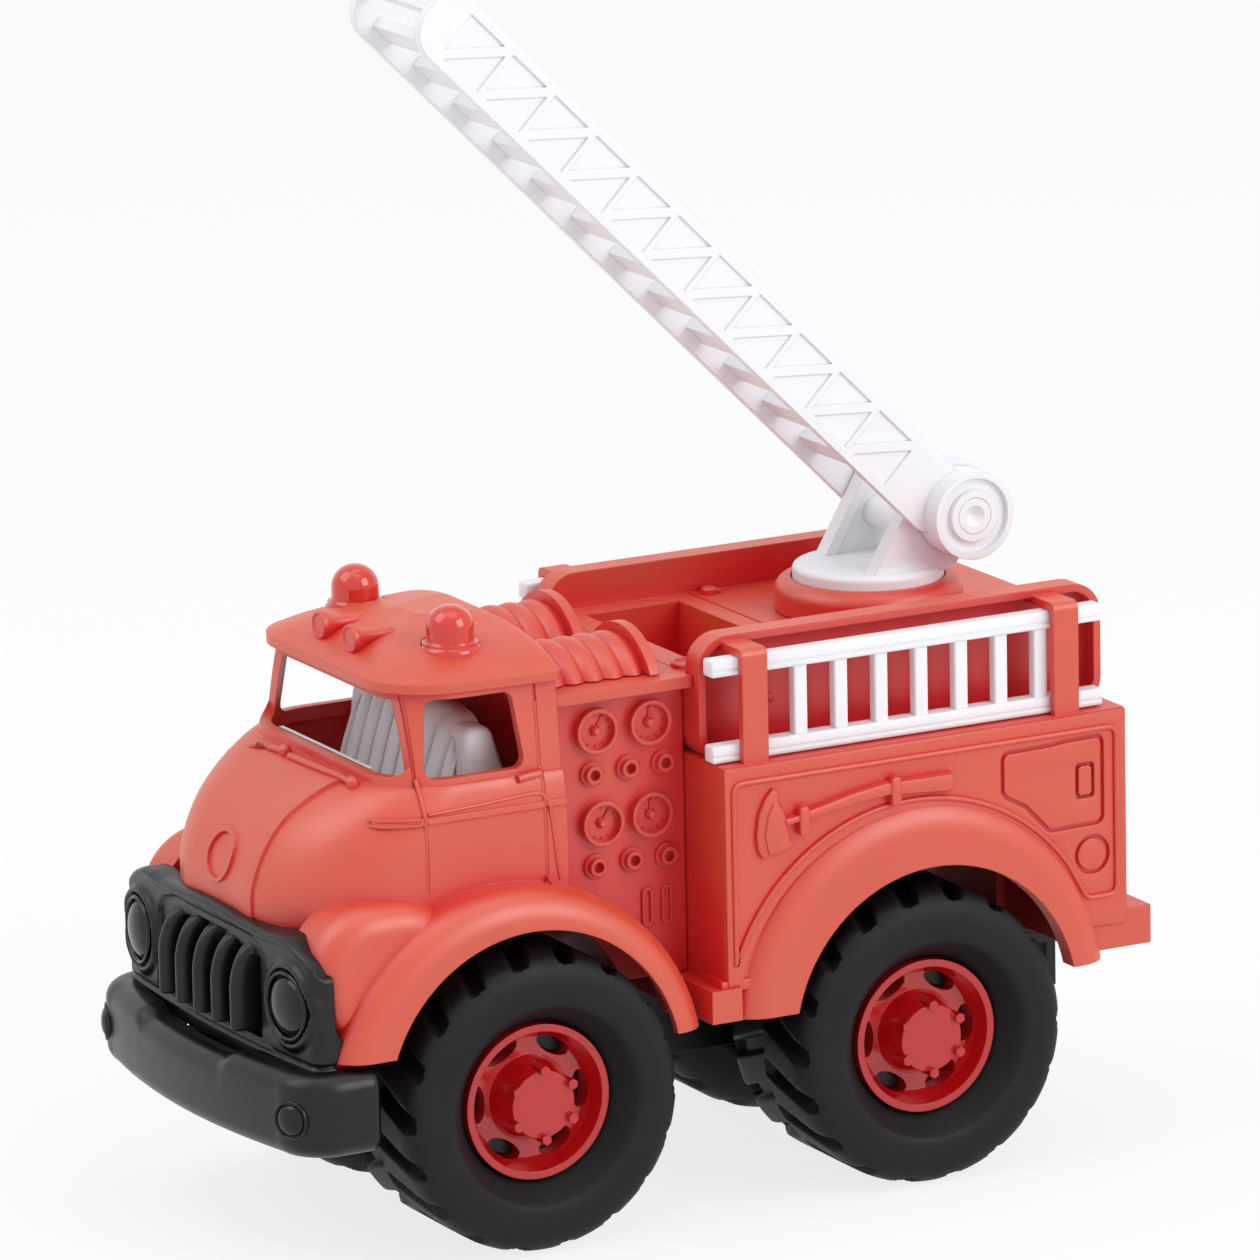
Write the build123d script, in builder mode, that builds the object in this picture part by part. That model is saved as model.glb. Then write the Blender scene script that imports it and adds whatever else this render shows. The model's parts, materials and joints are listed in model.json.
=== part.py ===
"""Toy fire engine in moulded plastic, with a turning, lifting ladder.

Millimetres, +Z up. The truck faces -Y, its left side is +X, and the origin is
on the floor under the middle of the truck.
"""
from build123d import *
from math import cos, radians, sin, tan
import os

os.makedirs("parts", exist_ok=True)

# ------------------------------------------------------------ driving sizes (mm)
overall_length = 270.0
front_y = -overall_length / 2
rear_y = overall_length / 2
wall = 2.5                      # thickness of the red mouldings
seat_gap = 0.3                  # gap between pieces that rest against each other
running_gap = 0.08              # radial clearance of turning fits

# wheels and axles
tyre_radius = 41.0              # out to the tips of the lugs
tyre_width = 46.0
tyre_outer_x = 65.5
tyre_inner_x = tyre_outer_x - tyre_width
tread_depth = 3.2
tyre_shoulder = 5.0
tyre_sides = 36                 # the tread is a prism, two sides to a lug
lug_count = 18
lug_gap = 5.2
lug_slant = 20.0
sidewall_radius = tyre_radius - 13.7    # the sidewall slopes in from here to the rim
sidewall_depth = 8.5
rim_radius = 21.3
rim_lip = 2.0
rim_dish = 6.0
rim_inset = 6.3                 # rim face behind the tyre's outer face
hub_disc_radius = 9.2
hub_disc_rise = 9.0
hub_taper = 2.6
rim_window_count = 6
rim_window = (5.2, 2.2)         # half sizes, round the wheel and across
rim_window_circle = 15.2
rim_window_depth = 5.0
nut_radius = 1.5
nut_rise = 1.6
nut_circle = 9.5
axle_radius = 3.0
axle_z = tyre_radius
axle_front_y = front_y + 79.5
wheelbase = overall_length / 4 + 51.5
axle_rear_y = axle_front_y + wheelbase
arch_gap = 3.0
arch_radius = tyre_radius + arch_gap
arch_rise = 4.0                 # arches are centred above the axles
arch_shift = 2.0                # the front one ahead of its axle, the rear one behind
arch_top_z = axle_z + arch_rise + arch_radius

# chassis
chassis_top = axle_z + 13.0
chassis_plate = 3.5
chassis_low = axle_z - 7.0
chassis_half = tyre_inner_x - 2.6
chassis_rail = 4.0
chassis_rear_y = rear_y - 10.0
tail_half = 24.4                # the tail behind the wheels is wider than the rails
tail_hook = (6.0, 3.0, 16.0)    # x, y, and down from the chassis

# cab: height, half width, front edge and corner radius of each section of the hood
cab_half = 50.0
cab_rear_y = front_y + 95.0
cab_low_z = chassis_top + seat_gap
belt_z = 128.0
hood_foot_z = belt_z - 32.0
hood_sections = (
    (hood_foot_z, cab_half, front_y + 15.5, 34.0),
    (belt_z - 26.5, cab_half, front_y + 16.2, 34.0),
    (belt_z - 19.0, cab_half, front_y + 19.2, 33.5),
    (belt_z - 12.5, cab_half - 0.1, front_y + 23.6, 32.5),
    (belt_z - 6.5, cab_half - 0.6, front_y + 30.2, 30.0),
    (belt_z - 2.0, cab_half - 1.4, front_y + 37.6, 26.0),
    (belt_z, cab_half - 2.4, front_y + 43.5, 21.0),
)
cab_floor_z = arch_top_z + 1.0 + wall
hood_panel = ((26.0, 43.0), (21.0, 26.0), (19.5, 5.0))      # half width at each distance behind the front
hood_panel_rise = 0.7
badge_ring = (7.2, 6.0)         # radii, outside and inside
badge_z = 105.0
badge_rise = 1.5
belt_bead = (118.8, 120.6)
belt_bead_rise = 0.6
belt_bead_front_y = front_y + 40.0
door_seams = (front_y + 53.0, cab_rear_y - 6.5)
seam_width = 0.9
seam_depth = 0.7
eaves_z = belt_z + 24.0
greenhouse_low = (cab_half - 2.5, front_y + 43.0, 20.0)     # half width, front y, corner radius
greenhouse_high = (cab_half - 5.5, front_y + 50.0, 18.0)
screen_low_z = belt_z + 2.0
screen_high_z = eaves_z - 2.0
screen_low_half = 43.0
screen_high_half = 40.5
screen_round = 5.0
door_window = ((cab_rear_y - 40.0, 129.6), (cab_rear_y - 37.5, 150.6),
               (cab_rear_y - 13.4, 150.4), (cab_rear_y - 10.6, 129.6))
window_round = 3.0

# roof: height above the eaves, half widths at the front and the rear, how far the front and
# the rear edge draw in, corner radius at the front
roof_sections = (
    (2.6, 44.3, 47.8, 0.2, 0.1, 20.0),
    (6.0, 36.5, 41.5, 6.5, 0.6, 17.0),
    (9.8, 22.0, 28.0, 17.5, 1.8, 12.0),
    (12.4, 7.0, 12.0, 27.0, 5.0, 5.0),
)
roof_lip = 2.6
roof_lip_half = (44.5, 48.0)    # at the front and at the rear
roof_front_y = front_y + 46.6
roof_rear_corner = 3.0
roof_rear_y = cab_rear_y + 1.0
horn_x = 9.2
horn_profile = ((-5.5, 3.3), (-4.7, 3.3), (-1.0, 1.4), (6.5, 1.2))      # along the horn, radius
horn_y = front_y + 57.5
horn_rise = 8.8                 # above the eaves

# fenders
fender_outer_x = 62.5
fender_round = 9.0
fender_band = 13.0              # from the arch to the crown
front_fender_radius = arch_radius + fender_band
front_fender_shift = -5.0       # its centre ahead of the axle
front_fender_rise = 2.0         # and above it
fender_toe_z = chassis_top + 6.0
rear_fender_radius = arch_radius + fender_band - 0.5
rear_fender_shift = -0.8
rear_fender_rise = 9.5
rear_fender_flank = (9.5, 2.2)   # where its rounded flank bulges: in from the rim, out from the body
lobe_out_x = cab_half + 6.5
lobe_front_y = front_y + 16.5
lobe_rear_y = axle_front_y - 18.0
lobe_high_z = belt_z - 28.0
lobe_nose = 19.0
lobe_round = 8.0

# grille and bumper
grille_half = cab_half + 1.0
grille_low_z = chassis_top + 1.0
grille_high_z = hood_foot_z - 5.5
grille_face_y = front_y + 11.0
grille_sweep = 2.5              # how far its ends stand behind the middle
grille_round = 4.5              # its corners seen from above
grille_thick = 5.0
grille_corner = 9.0
slot_count = 5
slot_pitch = 11.2
slot_width = 6.8
slot_low_z = grille_low_z + 3.5
slot_high_z = grille_high_z - 6.5
slot_depth = 3.4
bar_radius = 2.3
bar_back = 0.7                  # centre of the bars behind the grille's face
brow_half = 33.0
brow_reach = 2.8
brow_high = 4.4
brow_edge = 1.2
headlamp_x = 41.0
headlamp_z = grille_low_z + 18.5
headlamp_radius = 9.2
headlamp_ring = 2.2
headlamp_sunk = 3.0
headlamp_proud = 1.8
headlamp_turn = 4.5            # the lamps look square to the bowed grille
bumper_half = 61.5
bumper_low_z = chassis_top - 18.5
bumper_high_z = chassis_top + 4.5
bumper_middle_half = 25.0       # between the raised ends
bumper_middle_drop = 2.2
bumper_thick = 9.0
bumper_end_y = axle_front_y - tyre_radius - 6.5
bumper_corner_y = front_y + 5.0
bumper_corner = 14.0
bumper_round = 4.0
fog_z = bumper_low_z + 11.0
fog_turn = 32.0                 # the lamps look out of the bumper's corners
fog_seat = 10.0
fog_reach = 5.4
fog_corner_back = 12.0          # centre of the corner behind its edge
fog_radius = 4.9
fog_edge = 2.4

# cab fittings
bench_half = 34.0
bench_high_z = belt_z + 16.0
bench_corner = 9.0
# y from the cab's rear and z up the bench's front and down its back
bench_front = ((-36.0, cab_floor_z), (-32.0, 112.0), (-27.5, 128.0), (-22.5, bench_high_z))
bench_back = ((-13.5, bench_high_z), (-9.5, 126.0), (-9.5, cab_floor_z))
bench_rib_count = 8
bench_rib_pitch = 8.4
bench_rib = (1.3, 1.1)          # groove between ribs: width and depth
dash_half = 27.0
dash_y = greenhouse_low[1] + wall + 2.2
dash_thick = 1.5
dash_high_z = screen_low_z + 1.1
beacon_x = 28.0
beacon_y = cab_rear_y - 22.5
beacon_radius = 6.5
beacon_flange_radius = 7.6
beacon_flange = 2.4
beacon_pad_radius = 7.9
beacon_pad_rise = 6.8           # above the roof's lower edge
beacon_high = 12.4

# pump house and hose reels
pump_half = 38.0
cargo_rear_y = rear_y - 8.0
cargo_front_y = cargo_rear_y - 125.0
pump_rear_y = cargo_front_y
deck_z = 147.0
pump_lip = 3.2
pump_lip_reach = 6.0
gauge_radius = 6.2
gauge_ring = 1.1
gauge_rise = 2.2
gauge_hub = 1.0
outlet_radii = (3.5, 2.5, 1.5)      # base, nozzle, bore
outlet_rise = (1.0, 2.6)
panel_rows = (                      # y from the cab's rear and z on the pump panel, what stands there
    ("gauge", 14.7, 134.5), ("gauge", 30.9, 134.7), ("gauge", 16.0, 108.8), ("gauge", 30.9, 109.2),
    ("outlet", 13.6, 122.5), ("outlet", 24.5, 122.9), ("outlet", 35.2, 123.0),
    ("outlet", 14.2, 96.9), ("outlet", 25.2, 97.3), ("outlet", 35.8, 97.1),
)
grab_slots = (29.7, 35.6)           # y from the cab's rear
grab_slot_z = 83.4
grab_slot = (11.0, 3.4)
grab_slot_rise = 0.9
reel_x = 21.0
reel_z = 137.5
reel_radius = 18.7
reel_flange_radius = 20.8
reel_flange = 3.0
reel_coil_count = 5
reel_coil_depth = 1.4
reel_rear_y = pump_rear_y - 7.5

# cargo body
cargo_half = 59.0
board_z = (chassis_top + 0.6, chassis_top + 9.6)
panel_low_z = board_z[1] - 1.0
ledge_z = 124.5
tray_half = cargo_half - 12.0
tray_wall = 7.3
tray_high_z = ledge_z + 33.0
tray_corner = 9.0
recess_depth = 5.4
recess_rim = 2.2
bin_half = 33.0
bin_front_y = cargo_front_y + 8.0
bin_rear_y = cargo_front_y + 37.5
bin_floor_z = 120.0
rear_step_y = cargo_rear_y - 13.5
rear_step_z = (chassis_top + 2.7, chassis_top + 13.5)
rib_rows = (cargo_front_y + 18.0, cargo_rear_y - 15.0)

# turret and ladder
turret_y = cargo_rear_y - 46.0
ring_radius = 26.0
ring_bore = 21.4
ring_high_z = deck_z + 9.0
ring_round = 4.0
turn_gap = 0.5
turntable_high_z = ring_high_z + 3.5
spigot_radius = 10.0
hinge_y = turret_y + 18.5
hinge_z = deck_z + 28.0
hinge_pin_radius = 5.0
pin_dimple = (3.0, 2.4)         # radius and depth of the cone sunk in the pin's end
cheek_radius = 14.0
cheek_in_x = 12.4
cheek_out_x = 16.6
cheek_rake = 31.0
cheek_rib = (1.2, 3.4)          # the rib on the raked edge: inwards, and along the cheek
cross_tube_radius = 4.3
cross_tube_place = (-8.5, -5.0)     # from the hinge
ladder_rise = 45.0              # elevation of the ladder as it is stored
ladder_length = 223.0
ladder_half = 20.6
rail_thick = 3.4
rail_below = 12.3
rail_above = 7.2
rail_tip_round = 9.0
truss_first = 24.0
truss_pitch = 17.2
truss_count = 11
truss_post = 1.6
truss_chord = (2.6, 3.0)        # kept along the lower and the upper edge
truss_depth = 0.7
hub_radius = 12.2
hub_reach = 6.4
hub_groove = (10.4, 7.2, 1.6)   # outer and inner radius, depth
rung_count = 12
rung_pitch = 16.4
rung_first = 30.0
rung_size = (7.5, 3.2)          # along the ladder, and thick
rung_drop = 7.0
tip_plate = 2.6

# side ladders and the straps that hold them
side_ladder_in_x = tray_half + 3.4
side_ladder_out_x = side_ladder_in_x + 5.4
side_ladder_y = (cargo_front_y - 0.6, cargo_rear_y - 4.5)
side_rail = 4.8
side_rail_edge = 1.5
side_ladder_z = (ledge_z + seat_gap, ledge_z + 28.8)
side_rung = 4.0
side_rung_count = 9
side_rung_pitch = 12.7
side_rung_first = 14.2          # behind the cargo body's front
strap_width = 7.7
strap_rows = (cargo_front_y + 11.0, cargo_rear_y - 17.5)
strap_thick = 2.2
strap_high_z = side_ladder_z[1] + seat_gap + strap_thick

sides = {"left": 1, "right": -1}
on_face = (Align.CENTER, Align.CENTER, Align.MIN)


def save(piece, label):
    """Name a finished piece and write it."""
    piece.label = label
    export_step(piece, f"parts/{label}.step")


def both(half):
    """A left-hand piece together with its mirror image."""
    return [half, mirror(half, about=Plane.YZ)]


# ------------------------------------------------------------ cab
def plan_block(low_z, height, half, nose_y, corner):
    """Upright block with a rounded front: the plan of the cab's lower storey."""
    with BuildPart() as block:
        with BuildSketch(Plane.XY.offset(low_z)) as outline:
            with Locations((0, (cab_rear_y + nose_y) / 2)):
                Rectangle(2 * half, cab_rear_y - nose_y)
            fillet(outline.vertices().group_by(Axis.Y)[0], corner)
        extrude(amount=height)
    return block.part


def cab_form(inset=0.0, low_z=cab_low_z):
    """Solid form of the hood and doors below the belt line, drawn in by inset all round."""
    foot_z, foot_half, foot_nose_y, foot_corner = hood_sections[0]
    with BuildPart() as form:
        add(plan_block(low_z, foot_z - low_z, foot_half - inset, foot_nose_y + inset, foot_corner - inset))
        for height, half, nose_y, corner in hood_sections:
            drawn_z = height - inset * (height - foot_z) / (belt_z - foot_z)
            with BuildSketch(Plane.XY.offset(drawn_z)) as outline:
                with Locations((0, (cab_rear_y + nose_y + inset) / 2)):
                    Rectangle(2 * (half - inset), cab_rear_y - nose_y - inset)
                fillet(outline.vertices().group_by(Axis.Y)[0], corner - inset)
        loft()
    return form.part


def greenhouse_form(inset=0.0, low_z=belt_z - 4.0, top_z=eaves_z):
    """Solid form of the window storey, which draws in towards the roof."""
    with BuildPart() as form:
        for height, (half, nose_y, corner) in ((low_z, greenhouse_low), (top_z, greenhouse_high)):
            with BuildSketch(Plane.XY.offset(height)) as outline:
                with Locations((0, (cab_rear_y + nose_y) / 2)):
                    Rectangle(2 * (half - inset), cab_rear_y - nose_y - 2 * inset)
                fillet(outline.vertices().group_by(Axis.Y)[0], corner - inset)
        loft()
    return form.part


def disc_x(centre_y, centre_z, radius, x_low, x_high):
    """Round block lying along X."""
    with BuildPart() as block:
        with BuildSketch(Plane.YZ.offset(x_low)):
            with Locations((centre_y, centre_z)):
                Circle(radius)
        extrude(amount=x_high - x_low)
    return block.part


def wheel_tunnel(axle_y, shift):
    """Room for one left-hand wheel."""
    return disc_x(axle_y + shift, axle_z + arch_rise, arch_radius, tyre_inner_x - 2.0, fender_outer_x + 1.0)


front_tunnels = both(wheel_tunnel(axle_front_y, -arch_shift))
rear_tunnels = both(wheel_tunnel(axle_rear_y, arch_shift))
front_fender_y = axle_front_y + front_fender_shift
front_fender_z = axle_z + front_fender_rise
fender_in_x = pump_half + seat_gap


def fender_form(inset=0.0):
    """Round crown of the front fender, cut level at its toe and its tail."""
    with BuildPart() as form:
        crown_radius = front_fender_radius - inset
        add(disc_x(front_fender_y, front_fender_z, crown_radius, fender_in_x, fender_outer_x - inset))
        toe_y = front_fender_y - front_fender_radius
        tail_y = front_fender_y + front_fender_radius
        with Locations((fender_outer_x, toe_y, fender_toe_z - front_fender_radius),
                       (fender_outer_x, tail_y, cab_low_z - front_fender_radius)):
            Box(4 * fender_outer_x, 2 * front_fender_radius, 2 * front_fender_radius, mode=Mode.SUBTRACT)
        rim_edges = form.edges().filter_by(lambda edge: abs(edge.center().X - fender_outer_x + inset) < 0.01)
        fillet(rim_edges.filter_by(GeomType.CIRCLE), fender_round - inset)
    return form.part


def lobe_form(inset=0.0):
    """Swell of the front fender between the hood and the crown."""
    with BuildPart() as form:
        with BuildSketch(Plane.YZ.offset(fender_in_x)) as outline:
            with BuildLine():
                Polyline((lobe_front_y + inset, fender_toe_z), (lobe_front_y + inset, lobe_high_z - inset),
                         (lobe_rear_y, lobe_high_z - inset), (lobe_rear_y, fender_toe_z), close=True)
            make_face()
            fillet(outline.vertices().group_by(Axis.Z)[-1], lobe_nose - inset)
        extrude(amount=lobe_out_x - fender_in_x - inset)
        rim_edges = form.edges().filter_by(lambda edge: abs(edge.center().X - lobe_out_x + inset) < 0.01)
        fillet(rim_edges.filter_by(lambda edge: edge.center().Z > fender_toe_z + 1.0), lobe_round - inset)
    return form.part


with BuildPart() as screen_opening:
    with BuildSketch(Plane.XZ.offset(-greenhouse_low[1] - 20.0)) as pane:
        with BuildLine():
            Polyline((-screen_low_half, screen_low_z), (screen_low_half, screen_low_z),
                     (screen_high_half, screen_high_z), (-screen_high_half, screen_high_z), close=True)
        make_face()
        fillet(pane.vertices(), screen_round)
    extrude(amount=40.0)
    # the opening stops at the pillar beside the door
    with Locations((0, door_window[0][0], belt_z)):
        Box(4 * cab_half, 2 * wall, 4 * cab_half, mode=Mode.SUBTRACT)
    split(bisect_by=Plane.XZ.offset(-door_window[0][0]), keep=Keep.TOP)
with BuildPart() as door_opening:
    with BuildSketch(Plane.YZ) as pane:
        with BuildLine():
            Polyline(*door_window, close=True)
        make_face()
        fillet(pane.vertices(), window_round)
    extrude(amount=cab_half + 5.0, both=True)


def bow(half, middle_y, sweep):
    """Bowed line across the truck, its middle ahead of its ends."""
    return (-half, middle_y + sweep), (0, middle_y), (half, middle_y + sweep)


with BuildPart() as nose_cut:
    # room for the grille in the cab's nose
    cut_half = grille_half + seat_gap
    with BuildSketch(Plane.XY.offset(cab_low_z - 1.0)):
        with BuildLine():
            grille_back = ThreePointArc(*bow(cut_half, grille_face_y + grille_thick + seat_gap, grille_sweep))
            Polyline(grille_back @ 1, (cut_half, front_y), (-cut_half, front_y), grille_back @ 0)
        make_face()
    extrude(amount=grille_high_z + seat_gap - cab_low_z + 1.0)
    high_edges = nose_cut.edges().filter_by(Axis.Y).group_by(Axis.Z)[-1]
    fillet(high_edges, grille_corner + seat_gap)

cab_room = cab_form(inset=wall, low_z=cab_low_z - 4.0)
cab_middle_y = (cab_rear_y + front_y) / 2
with BuildPart() as cab_floor:
    # floor plate, and a pair of webs under it that stand on the chassis
    with Locations((0, cab_middle_y, cab_floor_z - wall / 2)):
        Box(2 * cab_half, cab_rear_y - front_y, wall)
    web_height = cab_floor_z - cab_low_z
    with Locations((0, cab_middle_y, cab_low_z + web_height / 2)):
        with GridLocations(2 * (chassis_half - 2 * wall), 0, 2, 1):
            Box(wall, cab_rear_y - front_y, web_height)
    add(cab_room, mode=Mode.INTERSECT)

with BuildPart() as hood_relief:
    # the raised middle of the hood, and the beads along the doors
    with BuildSketch(Plane.XY.offset(hood_foot_z - 10.0)):
        with BuildLine():
            left_points = [(half, front_y + back) for half, back in hood_panel]
            Polyline(*left_points, *[(-x, y) for x, y in reversed(left_points)], close=True)
        make_face()
    extrude(amount=belt_z - hood_foot_z + 10.0)
    add(cab_form(inset=-hood_panel_rise), mode=Mode.INTERSECT)
with BuildPart() as door_bead:
    with Locations((0, (belt_bead_front_y + cab_rear_y) / 2, sum(belt_bead) / 2)):
        Box(3 * cab_half, cab_rear_y - belt_bead_front_y, belt_bead[1] - belt_bead[0])
    add(cab_form(inset=-belt_bead_rise), mode=Mode.INTERSECT)
with BuildPart() as badge:
    with BuildSketch(Plane.XZ.offset(-front_y)):
        with Locations((0, badge_z)):
            Circle(badge_ring[0])
            Circle(badge_ring[1], mode=Mode.SUBTRACT)
    extrude(amount=-40.0)
    add(cab_form(inset=-badge_rise), mode=Mode.INTERSECT)
with BuildPart() as seam_cut:
    seam_low_z = front_fender_z + front_fender_radius
    for seam_y in door_seams:
        with Locations((0, seam_y, (seam_low_z + eaves_z + 1.0) / 2)):
            Box(3 * cab_half, seam_width, eaves_z + 1.0 - seam_low_z)
    add(cab_form(inset=seam_depth), mode=Mode.SUBTRACT)
    add(greenhouse_form(inset=seam_depth, top_z=eaves_z + 2.0), mode=Mode.SUBTRACT)

with BuildPart() as cab_body:
    add(cab_form())
    add(hood_relief.part)
    add(door_bead.part)
    add(badge.part)
    add(greenhouse_form())
    add(both(lobe_form()))
    add(both(fender_form()))
    add(cab_room, mode=Mode.SUBTRACT)
    add(both(fender_form(wall)), mode=Mode.SUBTRACT)
    add(both(lobe_form(wall)), mode=Mode.SUBTRACT)
    add(cab_floor.part)
    add(greenhouse_form(inset=wall, low_z=belt_z - 8.0, top_z=eaves_z + 1.0), mode=Mode.SUBTRACT)
    add(seam_cut.part, mode=Mode.SUBTRACT)
    add(screen_opening.part, mode=Mode.SUBTRACT)
    add(door_opening.part, mode=Mode.SUBTRACT)
    add(front_tunnels, mode=Mode.SUBTRACT)
    add(nose_cut.part, mode=Mode.SUBTRACT)
save(cab_body.part, "cab_body")
# ------------------------------------------------------------ grille, lamps, bumper
with BuildPart() as bars:
    # rounded bars beside the grille's slots
    with BuildSketch(Plane.XY.offset(slot_low_z)):
        for bar in range(slot_count + 1):
            bar_x = (bar - slot_count / 2) * slot_pitch
            with Locations((bar_x, grille_face_y + bar_back + grille_sweep * (bar_x / grille_half) ** 2)):
                Circle(bar_radius)
    extrude(amount=slot_high_z - slot_low_z)
    fillet(bars.edges().filter_by(GeomType.CIRCLE).group_by(Axis.Z)[-1], 0.9 * bar_radius)
with BuildPart() as brow:
    # lip over the slots
    with BuildSketch(Plane.XY.offset(grille_high_z - brow_high)):
        with BuildLine():
            brow_sweep = brow_reach + grille_sweep / 2
            brow_line = ThreePointArc(*bow(brow_half, grille_face_y - brow_reach, brow_sweep))
            Line(brow_line @ 1, brow_line @ 0)
        make_face()
    extrude(amount=brow_high)
    fillet(brow.edges().filter_by(GeomType.CIRCLE), brow_edge)


def headlamp_plane(sign, proud):
    """Plane across a headlamp's axis, which stands square to the bowed grille."""
    turn = radians(headlamp_turn)
    outward = (sign * sin(turn), -cos(turn), 0)
    face_y = grille_face_y + grille_sweep * (headlamp_x / grille_half) ** 2
    centre = (sign * headlamp_x + proud * outward[0], face_y + proud * outward[1], headlamp_z)
    return Plane(origin=centre, x_dir=(cos(turn), sign * sin(turn), 0), z_dir=outward)


with BuildPart() as grille:
    with BuildSketch(Plane.XY.offset(grille_low_z)) as outline:
        with BuildLine():
            front_line = ThreePointArc(*bow(grille_half, grille_face_y, grille_sweep))
            back_line = ThreePointArc(*reversed(bow(grille_half, grille_face_y + grille_thick, grille_sweep)))
            Line(front_line @ 1, back_line @ 0)
            Line(back_line @ 1, front_line @ 0)
        make_face()
        front_limit_y = grille_face_y + grille_sweep + 0.01
        fillet(outline.vertices().filter_by(lambda corner: corner.Y < front_limit_y), grille_round)
    extrude(amount=grille_high_z - grille_low_z)
    # seen from the front, its upper corners are round
    with BuildSketch(Plane.XZ.offset(-grille_face_y - 2 * grille_thick - grille_sweep)) as outline:
        with Locations((0, (grille_low_z + grille_high_z) / 2)):
            Rectangle(2 * grille_half, grille_high_z - grille_low_z)
        fillet(outline.vertices().group_by(Axis.Y)[-1], grille_corner)
    extrude(amount=4 * grille_thick + grille_sweep, mode=Mode.INTERSECT)
    # arched slots between the bars
    with BuildSketch(Plane.XZ.offset(5.0 - grille_face_y)):
        with GridLocations(slot_pitch, 0, slot_count, 1):
            with Locations((0, (slot_low_z + slot_high_z) / 2)):
                SlotOverall(slot_high_z - slot_low_z, slot_width, rotation=90)
    extrude(amount=-(slot_depth + 5.0), mode=Mode.SUBTRACT)
    add(bars.part)
    add(brow.part)
    for sign in sides.values():
        with BuildSketch(headlamp_plane(sign, -headlamp_sunk)):
            Circle(headlamp_radius + seat_gap)
        extrude(amount=headlamp_radius, mode=Mode.SUBTRACT)
save(grille.part, "grille")

for side, sign in sides.items():
    with BuildPart() as headlamp:
        # ring with a lens sunk in it
        with BuildSketch(headlamp_plane(sign, seat_gap - headlamp_sunk)):
            Circle(headlamp_radius)
        extrude(amount=headlamp_sunk - seat_gap + headlamp_proud)
        with BuildSketch(headlamp_plane(sign, headlamp_proud - 1.0)):
            Circle(headlamp_radius - headlamp_ring)
        extrude(amount=1.0, mode=Mode.SUBTRACT)
        with BuildSketch(headlamp_plane(sign, seat_gap - headlamp_sunk)):
            Circle(headlamp_radius - 1.6 * headlamp_ring)
        extrude(amount=headlamp_sunk + headlamp_proud)
        lens_edge = headlamp.edges().filter_by(GeomType.CIRCLE).sort_by(Axis.Y)[0]
        fillet(lens_edge, 0.8)
    save(headlamp.part, f"headlamp_{side}")


def bumper_form(high_z, proud):
    """Bowed bar with round corners and a round rim, open to the rear."""
    with BuildPart() as form:
        with BuildSketch(Plane.XY.offset(bumper_low_z)) as outline:
            with BuildLine():
                front_bow = ThreePointArc(*bow(bumper_half, front_y + proud, bumper_corner_y - front_y))
                Polyline(front_bow @ 1, (bumper_half, bumper_end_y), (-bumper_half, bumper_end_y),
                         front_bow @ 0)
            make_face()
            fillet(outline.vertices().group_by(Axis.Y)[0], bumper_corner)
        extrude(amount=high_z - bumper_low_z)
        level_edges = form.edges().filter_by(Plane.XY)
        fillet(level_edges.filter_by(lambda edge: edge.center().Y < bumper_end_y - 1.0), bumper_round)
    return form.part


def fog_plane(sign, reach):
    """Plane across a fog lamp's axis, which runs out of the bumper's rounded corner."""
    turn = radians(fog_turn)
    outward = (sign * sin(turn), -cos(turn), 0)
    corner_y = bumper_corner_y + fog_corner_back
    centre = (sign * (bumper_half - bumper_corner) + reach * outward[0], corner_y + reach * outward[1], fog_z)
    return Plane(origin=centre, x_dir=(cos(turn), sign * sin(turn), 0), z_dir=outward)


with BuildPart() as bumper:
    # raised ends
    add(bumper_form(bumper_high_z, 0.0))
    with Locations((0, front_y, bumper_high_z)):
        Box(2 * bumper_middle_half, 4 * bumper_corner, 4 * bumper_corner, mode=Mode.SUBTRACT)
    # lower middle, a little further back
    add(bumper_form(bumper_high_z - bumper_middle_drop, bumper_middle_drop / 2))
    with BuildSketch(Plane.XY.offset(bumper_low_z)) as hollow:
        inner_half = bumper_half - bumper_thick
        with BuildLine():
            inner_bow = ThreePointArc(*bow(inner_half, front_y + bumper_thick, bumper_corner_y - front_y))
            Polyline(inner_bow @ 1, (inner_half, bumper_end_y + 1.0), (-inner_half, bumper_end_y + 1.0),
                     inner_bow @ 0)
        make_face()
        fillet(hollow.vertices().group_by(Axis.Y)[0], bumper_corner - bumper_thick)
    extrude(amount=bumper_high_z - bumper_low_z, mode=Mode.SUBTRACT)
    for sign in sides.values():
        with BuildSketch(fog_plane(sign, fog_seat)):
            Circle(fog_radius + seat_gap)
        extrude(amount=bumper_corner, mode=Mode.SUBTRACT)
save(bumper.part, "bumper")

for side, sign in sides.items():
    with BuildPart() as fog_lamp:
        with BuildSketch(fog_plane(sign, fog_seat + seat_gap)):
            Circle(fog_radius)
        extrude(amount=fog_reach)
        front_rim = fog_lamp.edges().filter_by(GeomType.CIRCLE).sort_by(Axis.Y)[0]
        fillet(front_rim, fog_edge)
    save(fog_lamp.part, f"fog_lamp_{side}")

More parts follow.
